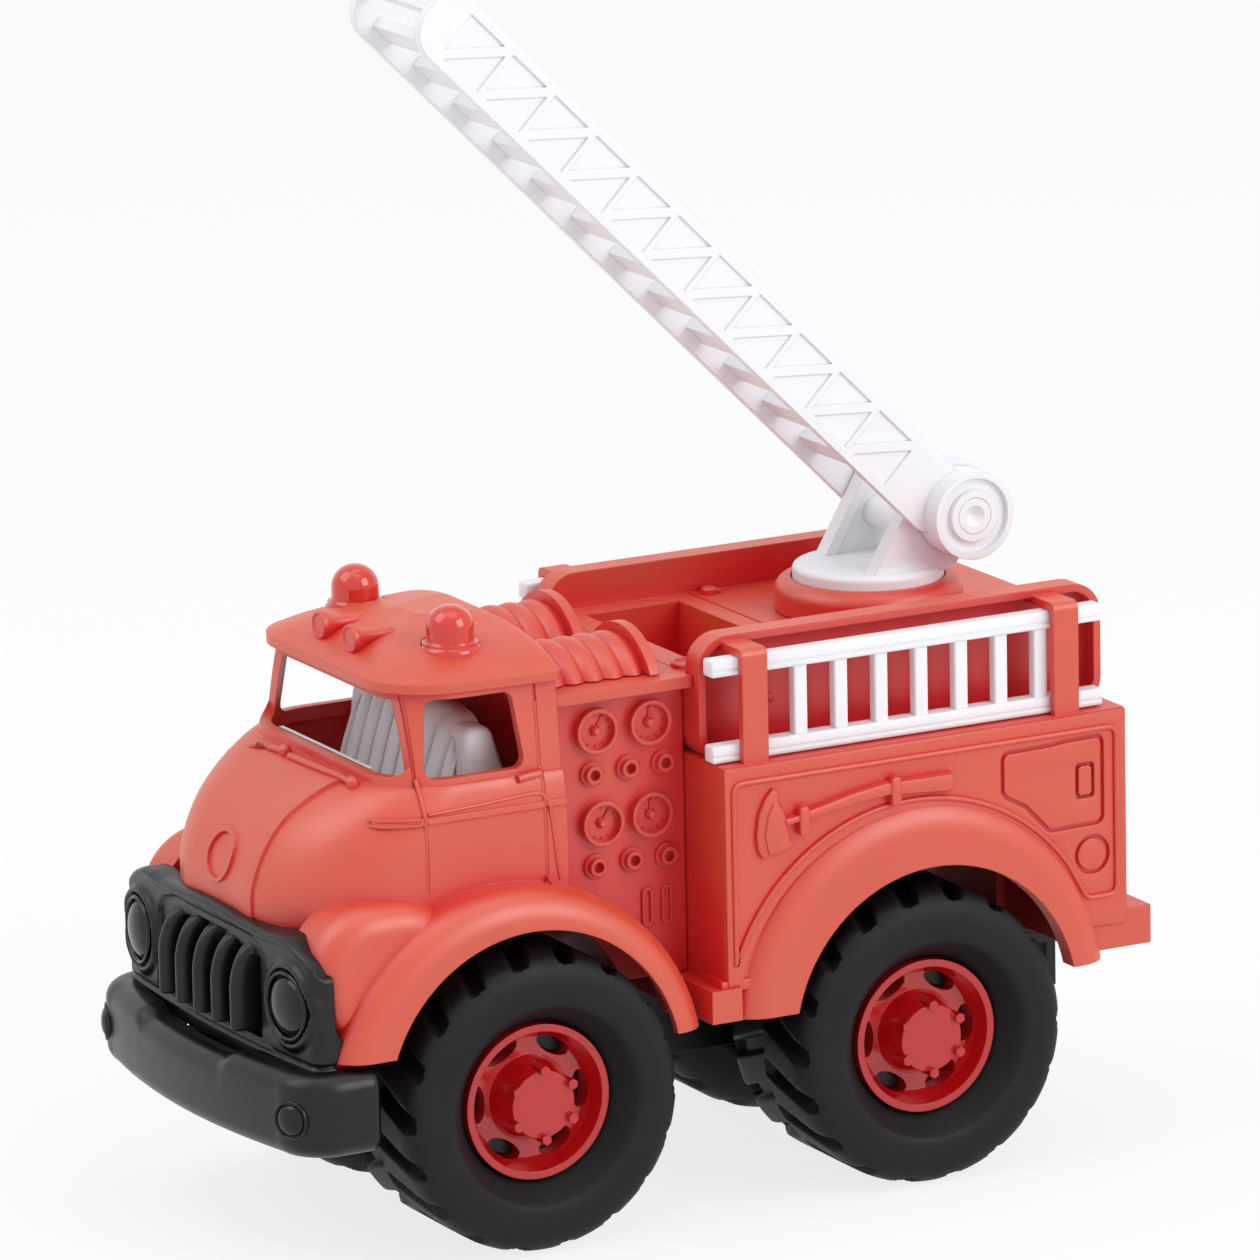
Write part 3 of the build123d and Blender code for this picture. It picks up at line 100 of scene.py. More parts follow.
# ------------------------------------------------------------------ finishes
@dataclass(frozen=True)
class Plastic:
    """A moulded plastic.

    Its colour drifts by a few percent where the melt flowed, and the mould's spark-eroded
    skin leaves a fine grain that breaks up the highlights. The corners are softened by the
    mould's own radius. Where a deeper colour is given, it is painted shade in hollows and between close
    walls.
    """

    name: str
    colour: str
    shade: str
    roughness: float
    ior: float = 1.51
    flow_mm: float = 34.0
    grain_mm: float = 0.55      # the real grain is 0.1 mm; drawn coarser so that it shows
    grain_depth_mm: float = 0.012
    corner_mm: float = 0.5
    coat: float = 0.0
    coat_roughness: float = 0.1
    roughness_spread: float = 0.06
    specular: float = 0.5
    sheen: float = 0.0          # haze of the mould's matt skin, seen where light grazes it
    sheen_roughness: float = 0.5
    sheen_tint: str = "FFFFFF"
    painted_shade_colour: str = ""            # painted shade: the deeper colour that hollows and close walls turn to, found by ambient occlusion
    painted_shade_reach_mm: float = 26.0
    painted_shade_sky: Pair = (0.48, 1.0)      # share of open sky at which the painted shade is full, and gone
    patch_share: float = 0.3    # size of the patches of gloss, as a share of the flow's
    patch_range: Pair = (0.3, 0.7)      # part of the noise that is spread over the whole change of gloss

    def make(self) -> bpy.types.Material:
        """Build the material.

        Returns:
            The material, ready for a slot.
        """
        material = bpy.data.materials.new(self.name)
        material.use_nodes = True
        material.diffuse_color = linear(self.colour)
        tree = material.node_tree
        shader = tree.nodes["Principled BSDF"]
        place = add_node(tree, "ShaderNodeTexCoord").outputs["Object"]
        flow = add_node(tree, "ShaderNodeTexNoise", {
            "Vector": place, "Scale": 1 / (self.flow_mm * MM), "Detail": 3.0, "Distortion": 0.6})
        colour = add_node(tree, "ShaderNodeMix", {
            0: flow.outputs["Fac"], 6: linear(self.shade), 7: linear(self.colour)}, data_type="RGBA")
        tint = colour.outputs[2]
        # Painted shade: where ambient occlusion finds close walls, the colour turns to the deeper colour
        # given.
        if self.painted_shade_colour:
            open_sky = add_node(tree, "ShaderNodeAmbientOcclusion", {
                "Distance": self.painted_shade_reach_mm * MM}, samples=6)
            share = add_node(tree, "ShaderNodeMapRange", {
                "Value": open_sky.outputs["AO"], "From Min": self.painted_shade_sky[0],
                "From Max": self.painted_shade_sky[1]}, interpolation_type="SMOOTHSTEP")
            tint = add_node(tree, "ShaderNodeMix", {
                0: share.outputs["Result"], 6: linear(self.painted_shade_colour), 7: tint}, data_type="RGBA").outputs[2]
        grain = add_node(tree, "ShaderNodeTexNoise", {
            "Vector": place, "Scale": 1 / (self.grain_mm * MM), "Detail": 2.0})
        patches = add_node(tree, "ShaderNodeTexNoise", {
            "Vector": place, "Scale": 1 / (self.flow_mm * self.patch_share * MM), "Detail": 4.0})
        gloss = add_node(tree, "ShaderNodeMapRange", {
            "Value": patches.outputs["Fac"],
            "From Min": self.patch_range[0], "From Max": self.patch_range[1],
            "To Min": self.roughness - self.roughness_spread / 2,
            "To Max": self.roughness + self.roughness_spread / 2})
        corner = add_node(tree, "ShaderNodeBevel", {"Radius": self.corner_mm * MM}, samples=4)
        bump = add_node(tree, "ShaderNodeBump", {
            "Height": grain.outputs["Fac"], "Distance": self.grain_depth_mm * MM,
            "Normal": corner.outputs["Normal"]})
        tree.links.new(tint, shader.inputs["Base Color"])
        tree.links.new(gloss.outputs["Result"], shader.inputs["Roughness"])
        tree.links.new(bump.outputs["Normal"], shader.inputs["Normal"])
        for socket, value in (("IOR", self.ior), ("Specular IOR Level", self.specular),
                              ("Sheen Weight", self.sheen), ("Sheen Roughness", self.sheen_roughness),
                              ("Sheen Tint", linear(self.sheen_tint)),
                              ("Coat Weight", self.coat), ("Coat Roughness", self.coat_roughness)):
            shader.inputs[socket].default_value = value
        return material


# Satin polyethylene, the bodywork: a milky sheen where light falls on it, and painted shade that turns it
# pure crimson in hollows and between close walls.
RED_BODY = Plastic("red_polyethylene_satin", "D34722", "CB3F1E", 0.42, specular=1.0, sheen=0.25,
                   sheen_roughness=0.4, sheen_tint="FFCBA4", painted_shade_colour="D2000E")
# Glossy polyethylene from a polished mould: beacons, with small sharp highlights.
RED_BEACON = Plastic("red_polyethylene_gloss", "D6301C", "CE2A18", 0.12, grain_depth_mm=0.0, coat=0.5)
# Glossy red ABS of the wheels: deep colour, long bright reflections.
RED_RIM = Plastic("red_abs_gloss", "BE1216", "B40F13", 0.16, ior=1.54, grain_depth_mm=0.002, coat=0.4)
# Black polyethylene, satin: broad soft highlights on the bumper.
BLACK_TRIM = Plastic("black_polyethylene_satin", "070708", "050506", 0.34, grain_depth_mm=0.006, specular=0.4)
# Black ABS from a polished mould: lamps, nearly a mirror.
BLACK_LAMP = Plastic("black_abs_gloss", "040405", "030304", 0.09, ior=1.54, grain_depth_mm=0.0, specular=0.35)
# Soft black polyethylene of the tyres: dull charcoal, with a slight haze.
TYRE = Plastic("black_polyethylene_tyre", "101013", "0C0C0F", 0.58, grain_depth_mm=0.012, specular=0.3)
# White polypropylene of the ladders: cool white, soft highlights.
WHITE = Plastic("white_polypropylene", "F1F2F6", "ECEDF2", 0.4, ior=1.49, grain_depth_mm=0.006)
# Pale grey polyethylene of the seat, with painted shade that darkens it between the flutes and in close
# corners.
SEAT = Plastic("grey_polyethylene", "ECEDF0", "E4E5E9", 0.4, painted_shade_colour="6E676B", painted_shade_reach_mm=12.0)


class Slot(Enum):
    """The record's material slots, each with its finish."""

    RED = ("red_plastic", RED_BODY)
    BEACON = ("beacon_red", RED_BEACON)
    RIM = ("rim_red", RED_RIM)
    BLACK = ("black_plastic", BLACK_TRIM)
    LAMP = ("black_gloss", BLACK_LAMP)
    TYRE = ("tyre_black", TYRE)
    WHITE = ("white_plastic", WHITE)
    SEAT = ("seat_grey", SEAT)

    @property
    def slot_name(self) -> str:
        """Name of the slot in the record."""
        return self.value[0]

    def material(self) -> bpy.types.Material:
        """The slot's material, made once."""
        return bpy.data.materials.get(self.value[1].name) or self.value[1].make()


def dress_frame() -> None:
    """Give every CAD node the finish of its own material slot."""
    slots = {entry["node"]: entry["material_slot"] for entry in frame["record"]["subparts"]}
    for name, node in frame["nodes"].items():
        finish = next(slot for slot in Slot if slot.slot_name == slots[name]).material()
        node.data.materials.clear()
        node.data.materials.append(finish)
        LOG.info("dressed %s", name)


# ------------------------------------------------------------------ mesh making
def add_object(name: str, data: bpy.types.ID) -> bpy.types.Object:
    """Make an object of a mesh, curve, light or camera, and put it into the scene."""
    made = bpy.data.objects.new(name, data)
    bpy.context.collection.objects.link(made)
    return made


def fractions(steps: int, whole: float = 1.0) -> list[float]:
    """Divide a length or an angle into equal steps, both ends included."""
    return [whole * step / steps for step in range(steps + 1)]


def smooth(value: float, low: float, high: float) -> float:
    """Rise from 0 to 1 between two values, without a kink."""
    share = min(max((value - low) / (high - low), 0.0), 1.0)
    return share * share * (3.0 - 2.0 * share)


def dome(start: float, height: float, radius: float, steps: int) -> list[Pair]:
    """Profile of a bulging lens, from its rim to its tip, for lathe()."""
    return [(start + height * math.sin(turn), radius * math.cos(turn))
            for turn in fractions(steps, math.pi / 2)]


def box(low: Pair, high: Pair) -> list[Pair]:
    """Corners of an upright rectangle."""
    return [low, (high[0], low[1]), high, (low[0], high[1])]


def both_sides(left: Sequence[Pair]) -> list[tuple[Vector, Vector]]:
    """Mirror a line seen from above, from the middle to its left end.

    Args:
        left: x and y of its points, the middle one first.

    Returns:
        Each point of the whole line with its outward direction, from right to left.
    """
    line = [Vector((-x, y)) for x, y in left[:0:-1]] + [Vector(point) for point in left]
    result = []
    for place, point in enumerate(line):
        along = (line[min(place + 1, len(line) - 1)] - line[max(place - 1, 0)]).normalized()
        result.append((point, Vector((along.y, -along.x))))
    return result


def circle(radius: float, count: int, start: float = 0.0) -> list[Pair]:
    """Points round a circle.

    Args:
        radius: radius in millimetres.
        count: number of points.
        start: angle of the first point in degrees.

    Returns:
        The points, counter-clockwise.
    """
    angles = [math.radians(start) + turn for turn in fractions(count, 2 * math.pi)[:-1]]
    return [(radius * math.cos(angle), radius * math.sin(angle)) for angle in angles]


class Shape:
    """A mesh under construction, in millimetres, made of closed skins."""

    def __init__(self) -> None:
        self.points: list[Vector] = []
        self.faces: list[tuple[int, ...]] = []

    def loft(self, rings: Sequence[Sequence[Sequence[float]]], capped: bool = True,
             paired: bool = False) -> "Shape":
        """Skin a stack of rings that have equally many points.

        Args:
            rings: the rings' points, each ring closed.
            capped: close the first and the last ring.
            paired: each ring is a front line and a back line; close the ends with quads between the two.

        Returns:
            This shape.
        """
        base = len(self.points)
        count = len(rings[0])
        for ring in rings:
            self.points.extend(Vector(point) for point in ring)
        for level in range(len(rings) - 1):
            for step in range(count):
                low = base + level * count
                after = (step + 1) % count
                self.faces.append((low + step, low + after, low + count + after, low + count + step))
        last = base + (len(rings) - 1) * count
        if capped and paired:
            for step in range(count // 2 - 1):
                across = (step, step + 1, count - 2 - step, count - 1 - step)
                self.faces.append(tuple(base + corner for corner in reversed(across)))
                self.faces.append(tuple(last + corner for corner in across))
        elif capped:
            self.faces.append(tuple(range(base + count - 1, base - 1, -1)))
            self.faces.append(tuple(range(last, last + count)))
        return self

    def tube(self, path: Sequence[Sequence[float]], radius: float, sides: int = 10, flat: float = 1.0,
             closed: bool = False) -> "Shape":
        """Sweep a round or flattened section along a path.

        Args:
            path: the middle line.
            radius: half the section's width.
            sides: points round the section.
            flat: the section's height along X as a share of its width.
            closed: join the end to the start.

        Returns:
            This shape.
        """
        line = [Vector(point) for point in path]
        count = len(line)
        rings = []
        for place in range(count):
            before = line[(place - 1) % count] if closed or place else line[0]
            after = line[(place + 1) % count] if closed or place < count - 1 else line[-1]
            along = (after - before).normalized()
            out = Vector((1.0, 0.0, 0.0)) - along * along.x
            out = out.normalized() if out.length > 0.2 else Vector((0.0, 0.0, 1.0)).cross(along).normalized()
            side = along.cross(out)
            rings.append([line[place] + side * across + out * (high * flat)
                          for across, high in circle(radius, sides)])
        if closed:
            rings.append(rings[0])
        return self.loft(rings, capped=not closed)

    def slab(self, outline: Sequence[Pair], low_x: float, high_x: float, edge: float = 0.3) -> "Shape":
        """Raise a plate from a side panel, with a chamfered rim.

        Args:
            outline: y and z of its corners, all one way round.
            low_x: where it starts, inside the panel.
            high_x: its outer face.
            edge: width of the chamfer.

        Returns:
            This shape.
        """
        levels = [(low_x, outline), (high_x - edge, outline),
                  (high_x - edge * 0.3, inset(outline, edge * 0.3)), (high_x, inset(outline, edge))]
        return self.loft([[(x, y, z) for y, z in corners] for x, corners in levels])

    def lathe(self, profile: Sequence[Pair], centre: Sequence[float], axis: Sequence[float],
              sides: int = 32) -> "Shape":
        """Turn a profile round an axis.

        Args:
            profile: distance along the axis and radius.
            centre: a point on the axis.
            axis: direction of the axis.
            sides: points round the axis.

        Returns:
            This shape.
        """
        along = Vector(axis).normalized()
        first = along.orthogonal().normalized()
        second = along.cross(first)
        middle = Vector(centre)
        rings = [[middle + along * reach + first * across + second * up
                  for across, up in circle(max(radius, 0.01), sides)] for reach, radius in profile]
        return self.loft(rings)

    def move(self, offset: Sequence[float]) -> "Shape":
        """Shift the whole shape."""
        for point in self.points:
            point += Vector(offset)
        return self

    def add(self, other: "Shape") -> None:
        """Take in another shape's skins."""
        base = len(self.points)
        self.points.extend(other.points)
        self.faces.extend(tuple(base + corner for corner in face) for face in other.faces)

    def mirror(self) -> "Shape":
        """Add the same shape on the other side of the truck."""
        base = len(self.points)
        self.points.extend(Vector((-point.x, point.y, point.z)) for point in self.points[:base])
        self.faces.extend(tuple(base + corner for corner in reversed(face)) for face in self.faces[:])
        return self

    def mesh(self, name: str) -> bpy.types.Mesh:
        """The shape as a mesh, in metres."""
        mesh = bpy.data.meshes.new(name)
        mesh.from_pydata([point * MM for point in self.points], [], self.faces)
        return mesh

    def build(self, name: str, slot: Slot, body: str, sharp: float = 32.0) -> bpy.types.Object:
        """Make the object, dress it and hand it to its body.

        Args:
            name: the piece's name.
            slot: the finish it wears.
            body: the body it moves with.
            sharp: angle in degrees above which an edge stays sharp.

        Returns:
            The object.
        """
        mesh = self.mesh(name)
        work = bmesh.new()
        work.from_mesh(mesh)
        bmesh.ops.remove_doubles(work, verts=work.verts, dist=1e-6)
        bmesh.ops.recalc_face_normals(work, faces=work.faces)
        work.to_mesh(mesh)
        work.free()
        return adopt(mesh, name, slot, body, sharp)


def adopt(mesh: bpy.types.Mesh, name: str, slot: Slot, body: str, sharp: float = 32.0) -> bpy.types.Object:
    """Turn a finished mesh into a dressed piece that rides on a body.

    Args:
        mesh: the mesh, in metres and in place.
        name: the piece's name.
        slot: the finish it wears.
        body: the body it moves with.
        sharp: angle in degrees above which an edge stays sharp.

    Returns:
        The object.
    """
    mesh.shade_smooth()
    mesh.set_sharp_from_angle(angle=math.radians(sharp))
    mesh.materials.clear()
    mesh.materials.append(slot.material())
    piece = add_object(name, mesh)
    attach(piece, body)
    LOG.info("%s: %d faces on %s", name, len(mesh.polygons), body)
    return piece


def inset(outline: Sequence[Pair], amount: float) -> list[Pair]:
    """Draw a closed outline in, or out where the amount is negative.

    Args:
        outline: its corners, either way round.
        amount: how far.

    Returns:
        The new corners.
    """
    count = len(outline)
    following = [*outline[1:], outline[0]]
    area = sum(here[0] * after[1] - after[0] * here[1] for here, after in zip(outline, following))
    turn = 1.0 if area > 0 else -1.0
    result = []
    for step in range(count):
        here = Vector(outline[step])
        before = (here - Vector(outline[step - 1])).normalized()
        after = (Vector(following[step]) - here).normalized()
        normal = Vector((-before.y - after.y, before.x + after.x)) * turn
        length = max(normal.length, 1e-6)
        spread = max(0.35, length / 2)
        result.append(tuple(here + normal / length * (amount / spread)))
    return result


def rounded(outline: Sequence[Pair], radius: float, steps: int = 5) -> list[Pair]:
    """Round the corners of a closed outline.

    Args:
        outline: its corners.
        radius: radius of the corners.
        steps: points in each corner, less one.

    Returns:
        The rounded outline.
    """
    result = []
    count = len(outline)
    for step in range(count):
        here = Vector(outline[step])
        before = Vector(outline[step - 1]) - here
        after = Vector(outline[(step + 1) % count]) - here
        half = before.angle(after) / 2
        reach = min(radius / math.tan(half), before.length * 0.48, after.length * 0.48)
        start = here + before.normalized() * reach
        end = here + after.normalized() * reach
        for share in fractions(steps):
            low = start.lerp(here, share)
            high = here.lerp(end, share)
            result.append(tuple(low.lerp(high, share)))
    return result


def relief(name: str, outlines: Sequence[Sequence[Pair]], low_x: float, high_x: float,
           edge: float) -> Shape:
    """Fill a plate that has holes and islands, and bevel all its rims.

    Args:
        name: working name.
        outlines: the rim, its holes and the islands in them, as y and z.
        low_x: the plate's inner face.
        high_x: its outer face.
        edge: radius of its rims.

    Returns:
        The plate, as a shape.
    """
    curve = bpy.data.curves.new(name, "CURVE")
    curve.dimensions = "2D"
    curve.fill_mode = "BOTH"
    curve.extrude = (high_x - low_x) / 2 - edge
    curve.bevel_depth = edge
    curve.bevel_resolution = 2
    curve.offset = -edge
    for outline in outlines:
        spline = curve.splines.new("POLY")
        spline.points.add(len(outline) - 1)
        for point, (y, z) in zip(spline.points, outline):
            point.co = (y, z, 0.0, 1.0)
        spline.use_cyclic_u = True
    holder = add_object(name, curve)
    mesh = bpy.data.meshes.new_from_object(holder.evaluated_get(bpy.context.evaluated_depsgraph_get()))
    shape = Shape()
    middle = (low_x + high_x) / 2
    shape.points = [Vector((middle + point.co.z, point.co.x, point.co.y)) for point in mesh.vertices]
    shape.faces = [tuple(face.vertices) for face in mesh.polygons]
    bpy.data.objects.remove(holder)
    bpy.data.curves.remove(curve)
    bpy.data.meshes.remove(mesh)
    return shape


# ------------------------------------------------------------------ repeating with Geometry Nodes
class Repeat(Enum):
    """How a Geometry Nodes tree lays out its copies."""

    ROUND = "round_an_axis"
    ROW = "in_a_row"

    def tree(self) -> bpy.types.NodeTree:
        """The tree, made once: copies of the mesh, realised, welded and dressed."""
        tree = bpy.data.node_groups.get(self.value)
        if tree:
            return tree
        tree = bpy.data.node_groups.new(self.value, "GeometryNodeTree")
        for name, kind in (("Geometry", "Geometry"), ("Count", "Int"), ("Centre", "Vector"),
                           ("Step", "Vector"), ("Weld", "Float"), ("Finish", "Material")):
            tree.interface.new_socket(name, in_out="INPUT", socket_type=f"NodeSocket{kind}")
        tree.interface.new_socket("Geometry", in_out="OUTPUT", socket_type="NodeSocketGeometry")
        given = add_node(tree, "NodeGroupInput").outputs
        away = add_node(tree, "ShaderNodeVectorMath", {
            0: given["Centre"], "Scale": -1.0}, operation="SCALE")
        centred = add_node(tree, "GeometryNodeTransform", {
            "Geometry": given["Geometry"], "Translation": away.outputs["Vector"]})
        order = add_node(tree, "GeometryNodeInputIndex").outputs["Index"]
        advance = add_node(tree, "ShaderNodeVectorMath", {
            0: given["Step"], "Scale": order}, operation="SCALE")
        line = add_node(tree, "GeometryNodeMeshLine", {
            "Count": given["Count"], "Start Location": given["Centre"],
            "Offset": given["Step"] if self is Repeat.ROW else (0.0, 0.0, 0.0)})
        layout = {"Points": line.outputs["Mesh"], "Instance": centred.outputs["Geometry"]}
        if self is Repeat.ROUND:
            layout["Rotation"] = advance.outputs["Vector"]
        copies = add_node(tree, "GeometryNodeInstanceOnPoints", layout)
        real = add_node(tree, "GeometryNodeRealizeInstances", {"Geometry": copies.outputs["Instances"]})
        welded = add_node(tree, "GeometryNodeMergeByDistance", {
            "Geometry": real.outputs["Geometry"], "Distance": given["Weld"]})
        dressed = add_node(tree, "GeometryNodeSetMaterial", {
            "Geometry": welded.outputs["Geometry"], "Material": given["Finish"]})
        add_node(tree, "NodeGroupOutput", {"Geometry": dressed.outputs["Geometry"]})
        return tree

    def apply(self, shape: Shape, count: int, centre: Point, step: Point, slot: Slot,
              weld_mm: float = 0.01) -> bpy.types.Mesh:
        """Repeat a shape and return one plain mesh.

        Args:
            shape: what is repeated, in its first place.
            count: how many there are.
            centre: a point on the axis, in millimetres.
            step: move in millimetres, or turn in degrees, from one to the next.
            slot: the finish.
            weld_mm: distance below which points are joined.

        Returns:
            The mesh, in metres.
        """
        tree = self.tree()
        holder = add_object("pattern", shape.mesh("pattern"))
        modifier = holder.modifiers.new("repeat", "NODES")
        modifier.node_group = tree
        scale = MM if self is Repeat.ROW else math.pi / 180
        values = {"Count": count, "Centre": [value * MM for value in centre],
                  "Step": [value * scale for value in step], "Weld": weld_mm * MM, "Finish": slot.material()}
        for item in tree.interface.items_tree:
            if item.in_out == "INPUT" and item.name in values:
                modifier[item.identifier] = values[item.name]
        result = bpy.data.meshes.new_from_object(holder.evaluated_get(bpy.context.evaluated_depsgraph_get()))
        holder.modifiers.remove(modifier)
        bpy.data.objects.remove(holder)
        return result


def mirrored_mesh(mesh: bpy.types.Mesh) -> bpy.types.Mesh:
    """Add the mirror image of a mesh to it, on the other side of the truck.

    Args:
        mesh: the left-hand mesh, which is changed.

    Returns:
        The same mesh with both sides.
    """
    work = bmesh.new()
    work.from_mesh(mesh)
    copied = bmesh.ops.duplicate(work, geom=work.verts[:] + work.edges[:] + work.faces[:])["geom"]
    corners = [item for item in copied if isinstance(item, bmesh.types.BMVert)]
    faces = [item for item in copied if isinstance(item, bmesh.types.BMFace)]
    bmesh.ops.scale(work, vec=(-1.0, 1.0, 1.0), verts=corners)
    bmesh.ops.reverse_faces(work, faces=faces)
    work.to_mesh(mesh)
    work.free()
    return mesh


# ------------------------------------------------------------------ wheels
@dataclass
class Wheels:
    """Tyres with notched shoulders, and black plates of painted shade in the openings of their rims."""

    axle_y: tuple[tuple[str, float], ...] = (("front", -55.5), ("rear", 63.5))
    axle_z: float = 41.0
    outer_x: float = 65.5
    width: float = 46.0
    radius: float = 41.0
    lug_count: int = 18
    lug_depth: float = 3.4
    notch_half: float = 2.7
    notch_end: float = 21.4         # length of a notch from the tread's middle, over the shoulder
    slant: float = 0.36             # a groove's drift round the tyre, per distance across it
    sector_steps: int = 26
    half_profile: Outline = (   # distance in from the outer face, radius
        (14.0, 21.6), (8.6, 21.6), (7.6, 22.3), (5.2, 24.2), (2.6, 26.1), (1.0, 27.2), (0.45, 27.8),
        (0.15, 28.6), (0.0, 30.2), (0.0, 32.6), (0.1, 34.4), (0.3, 35.6), (0.65, 36.8), (1.2, 37.9),
        (2.0, 38.9), (3.1, 39.8), (4.4, 40.4), (5.9, 40.8), (7.4, 40.97), (9.0, 41.0))
    tread_step: float = 0.9
    smooth_radius: float = 34.0     # the skin has no grooves up to this radius
    gap_half: float = 1.6           # half the solid band round the tread's middle
    notch_edge: Pair = (0.35, 1.1)      # how far outside its outline a groove begins, and its wall's width
    opening_count: int = 6
    opening: Point = (15.2, 2.15, 5.1)      # radius of its middle, half its height, half its width
    rim_depth: float = 17.05        # from the tyre's outer face in to the rim's

    def profile(self) -> list[Point]:
        """One half of the cross-section from the bore to the tread's middle.

        Returns:
            For each point its x, its radius and its distance from the tread's middle along the skin.
        """
        line = [(self.outer_x - inwards, radius) for inwards, radius in self.half_profile]
        middle_x = self.outer_x - self.width / 2
        count = math.ceil((line[-1][0] - middle_x) / self.tread_step)
        start_x = line[-1][0]
        line += [(start_x + (middle_x - start_x) * step / count, self.radius) for step in range(1, count + 1)]
        reach = 0.0
        result = [(line[-1][0], line[-1][1], 0.0)]
        for (x_after, r_after), (x, radius) in zip(line[:0:-1], line[-2::-1]):
            reach += math.hypot(x - x_after, radius - r_after)
            result.append((x, radius, reach))
        return result[::-1]

    def sunk(self, angle: float, reach: float) -> float:
        """How far a groove lowers the skin.

        Args:
            angle: place round the tyre, in radians.
            reach: distance from the tread's middle along the skin.

        Returns:
            The depth in millimetres.
        """
        pitch = 2 * math.pi / self.lug_count
        drift = self.slant * (reach - self.notch_end) / self.radius
        across = ((angle - drift + pitch / 2) % pitch - pitch / 2) * self.radius
        along = max(reach - (self.notch_end - self.notch_half), self.gap_half - reach, 0.0)
        outside = math.hypot(across, along) - self.notch_half
        start, width = self.notch_edge
        return self.lug_depth * smooth((start - outside) / width, 0.0, 1.0)

    def sector(self, side: int) -> Shape:
        """One pitch of the tyre, from bore round to bore.

        Args:
            side: 1 for the left side of the truck, -1 for the right.

        Returns:
            The pitch, as an open skin.
        """
        pitch = 2 * math.pi / self.lug_count
        shape = Shape()
        half = self.profile()
        middle_x = self.outer_x - self.width / 2
        whole = [(x, radius, reach, 0.0) for x, radius, reach in half]
        whole += [(2 * middle_x - x, radius, reach, pitch / 2) for x, radius, reach in half[-2::-1]]
        for x, radius, reach, turned in whole:
            for angle in fractions(self.sector_steps, pitch):
                reduced = radius - (self.sunk(angle + turned, reach) if radius > self.smooth_radius else 0.0)
                shape.points.append(Vector((side * x, reduced * math.cos(angle), reduced * math.sin(angle))))
        row = self.sector_steps + 1
        for level in range(len(whole)):
            after = (level + 1) % len(whole)
            for step in range(self.sector_steps):
                low, high = level * row + step, after * row + step
                face = (low, low + 1, high + 1, high)
                shape.faces.append(face if side > 0 else face[::-1])
        return shape

    def shade_plate(self, side: int) -> Shape:
        """Black plate at the bottom of one opening of the rim: painted shade for the dark inside of the
        opening.

        Args:
            side: 1 for left, -1 for right.

        Returns:
            The plate, in its first place.
        """
        rim_x = self.outer_x - self.rim_depth
        reach, half_high, half_wide = self.opening
        outline = [(reach + half_high * math.cos(turn), half_wide * math.sin(turn))
                   for turn in fractions(28, 2 * math.pi)[:-1]]
        rings = [[(side * (rim_x + out), across, up) for across, up in inset(outline, draw)]
                 for out, draw in ((-0.1, 0.0), (0.25, 0.0), (0.45, 0.25))]
        return Shape().loft(rings)

    def build(self) -> None:
        """Make the four wheels' pieces."""
        for end, axle_y in self.axle_y:
            for side_name, side in SIDES:
                centre = (0.0, axle_y, self.axle_z)
                mesh = Repeat.ROUND.apply(self.sector(side).move(centre), self.lug_count, centre,
                                          (360 / self.lug_count, 0.0, 0.0), Slot.TYRE)
                tyre = adopt(mesh, f"notched_tyre_{end}_{side_name}", Slot.TYRE, f"{end}_axle", sharp=60.0)
                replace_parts(tyre, f"tyre_{end}_{side_name}")
                # Black plates of painted shade at the bottom of the rim's openings.
                mesh = Repeat.ROUND.apply(self.shade_plate(side).move(centre), self.opening_count, centre,
                                          (360 / self.opening_count, 0.0, 0.0), Slot.BLACK)
                adopt(mesh, f"rim_opening_shade_{end}_{side_name}", Slot.BLACK, f"{end}_axle")


# ------------------------------------------------------------------ laying trim on the solids
class Skin:
    """The outer skin of a CAD node, for trim that lies on it."""

    def __init__(self, node: str) -> None:
        mesh = frame["nodes"][node].data
        self.tree = BVHTree.FromPolygons([point.co / MM for point in mesh.vertices],
                                         [tuple(face.vertices) for face in mesh.polygons])

    def at(self, start: Sequence[float], toward: Sequence[float], proud: float = 0.0) -> Vector:
        """Find the skin along a line.

        Args:
            start: where the line begins, outside the solid.
            toward: the line's direction.
            proud: how far above the skin the result lies.

        Returns:
            The point, in millimetres.
        """
        along = Vector(toward).normalized()
        place = self.tree.ray_cast(Vector(start), along)[0]
        return (place or Vector(start)) - along * proud

    def first(self, start: Sequence[float], toward: Sequence[float], reach: float) -> Optional[Vector]:
        """Find the first point of the skin along a line, if there is one within reach."""
        return self.tree.ray_cast(Vector(start), Vector(toward), reach)[0]

    def side_line(self, line: Sequence[Pair], proud: float, step: float = 3.0) -> list[Vector]:
        """Lay a line on the left flank.

        Args:
            line: y and z of its corners.
            proud: how far above the skin it lies.
            step: spacing of its points.

        Returns:
            The points.
        """
        result = []
        for (low_y, low_z), (high_y, high_z) in zip(line, line[1:]):
            count = max(1, round(math.hypot(high_y - low_y, high_z - low_z) / step))
            result += [(low_y + (high_y - low_y) * share, low_z + (high_z - low_z) * share)
                       for share in fractions(count)[:-1]]
        result.append(line[-1])
        return [self.at((90.0, y, z), (-1.0, 0.0, 0.0), proud) for y, z in result]


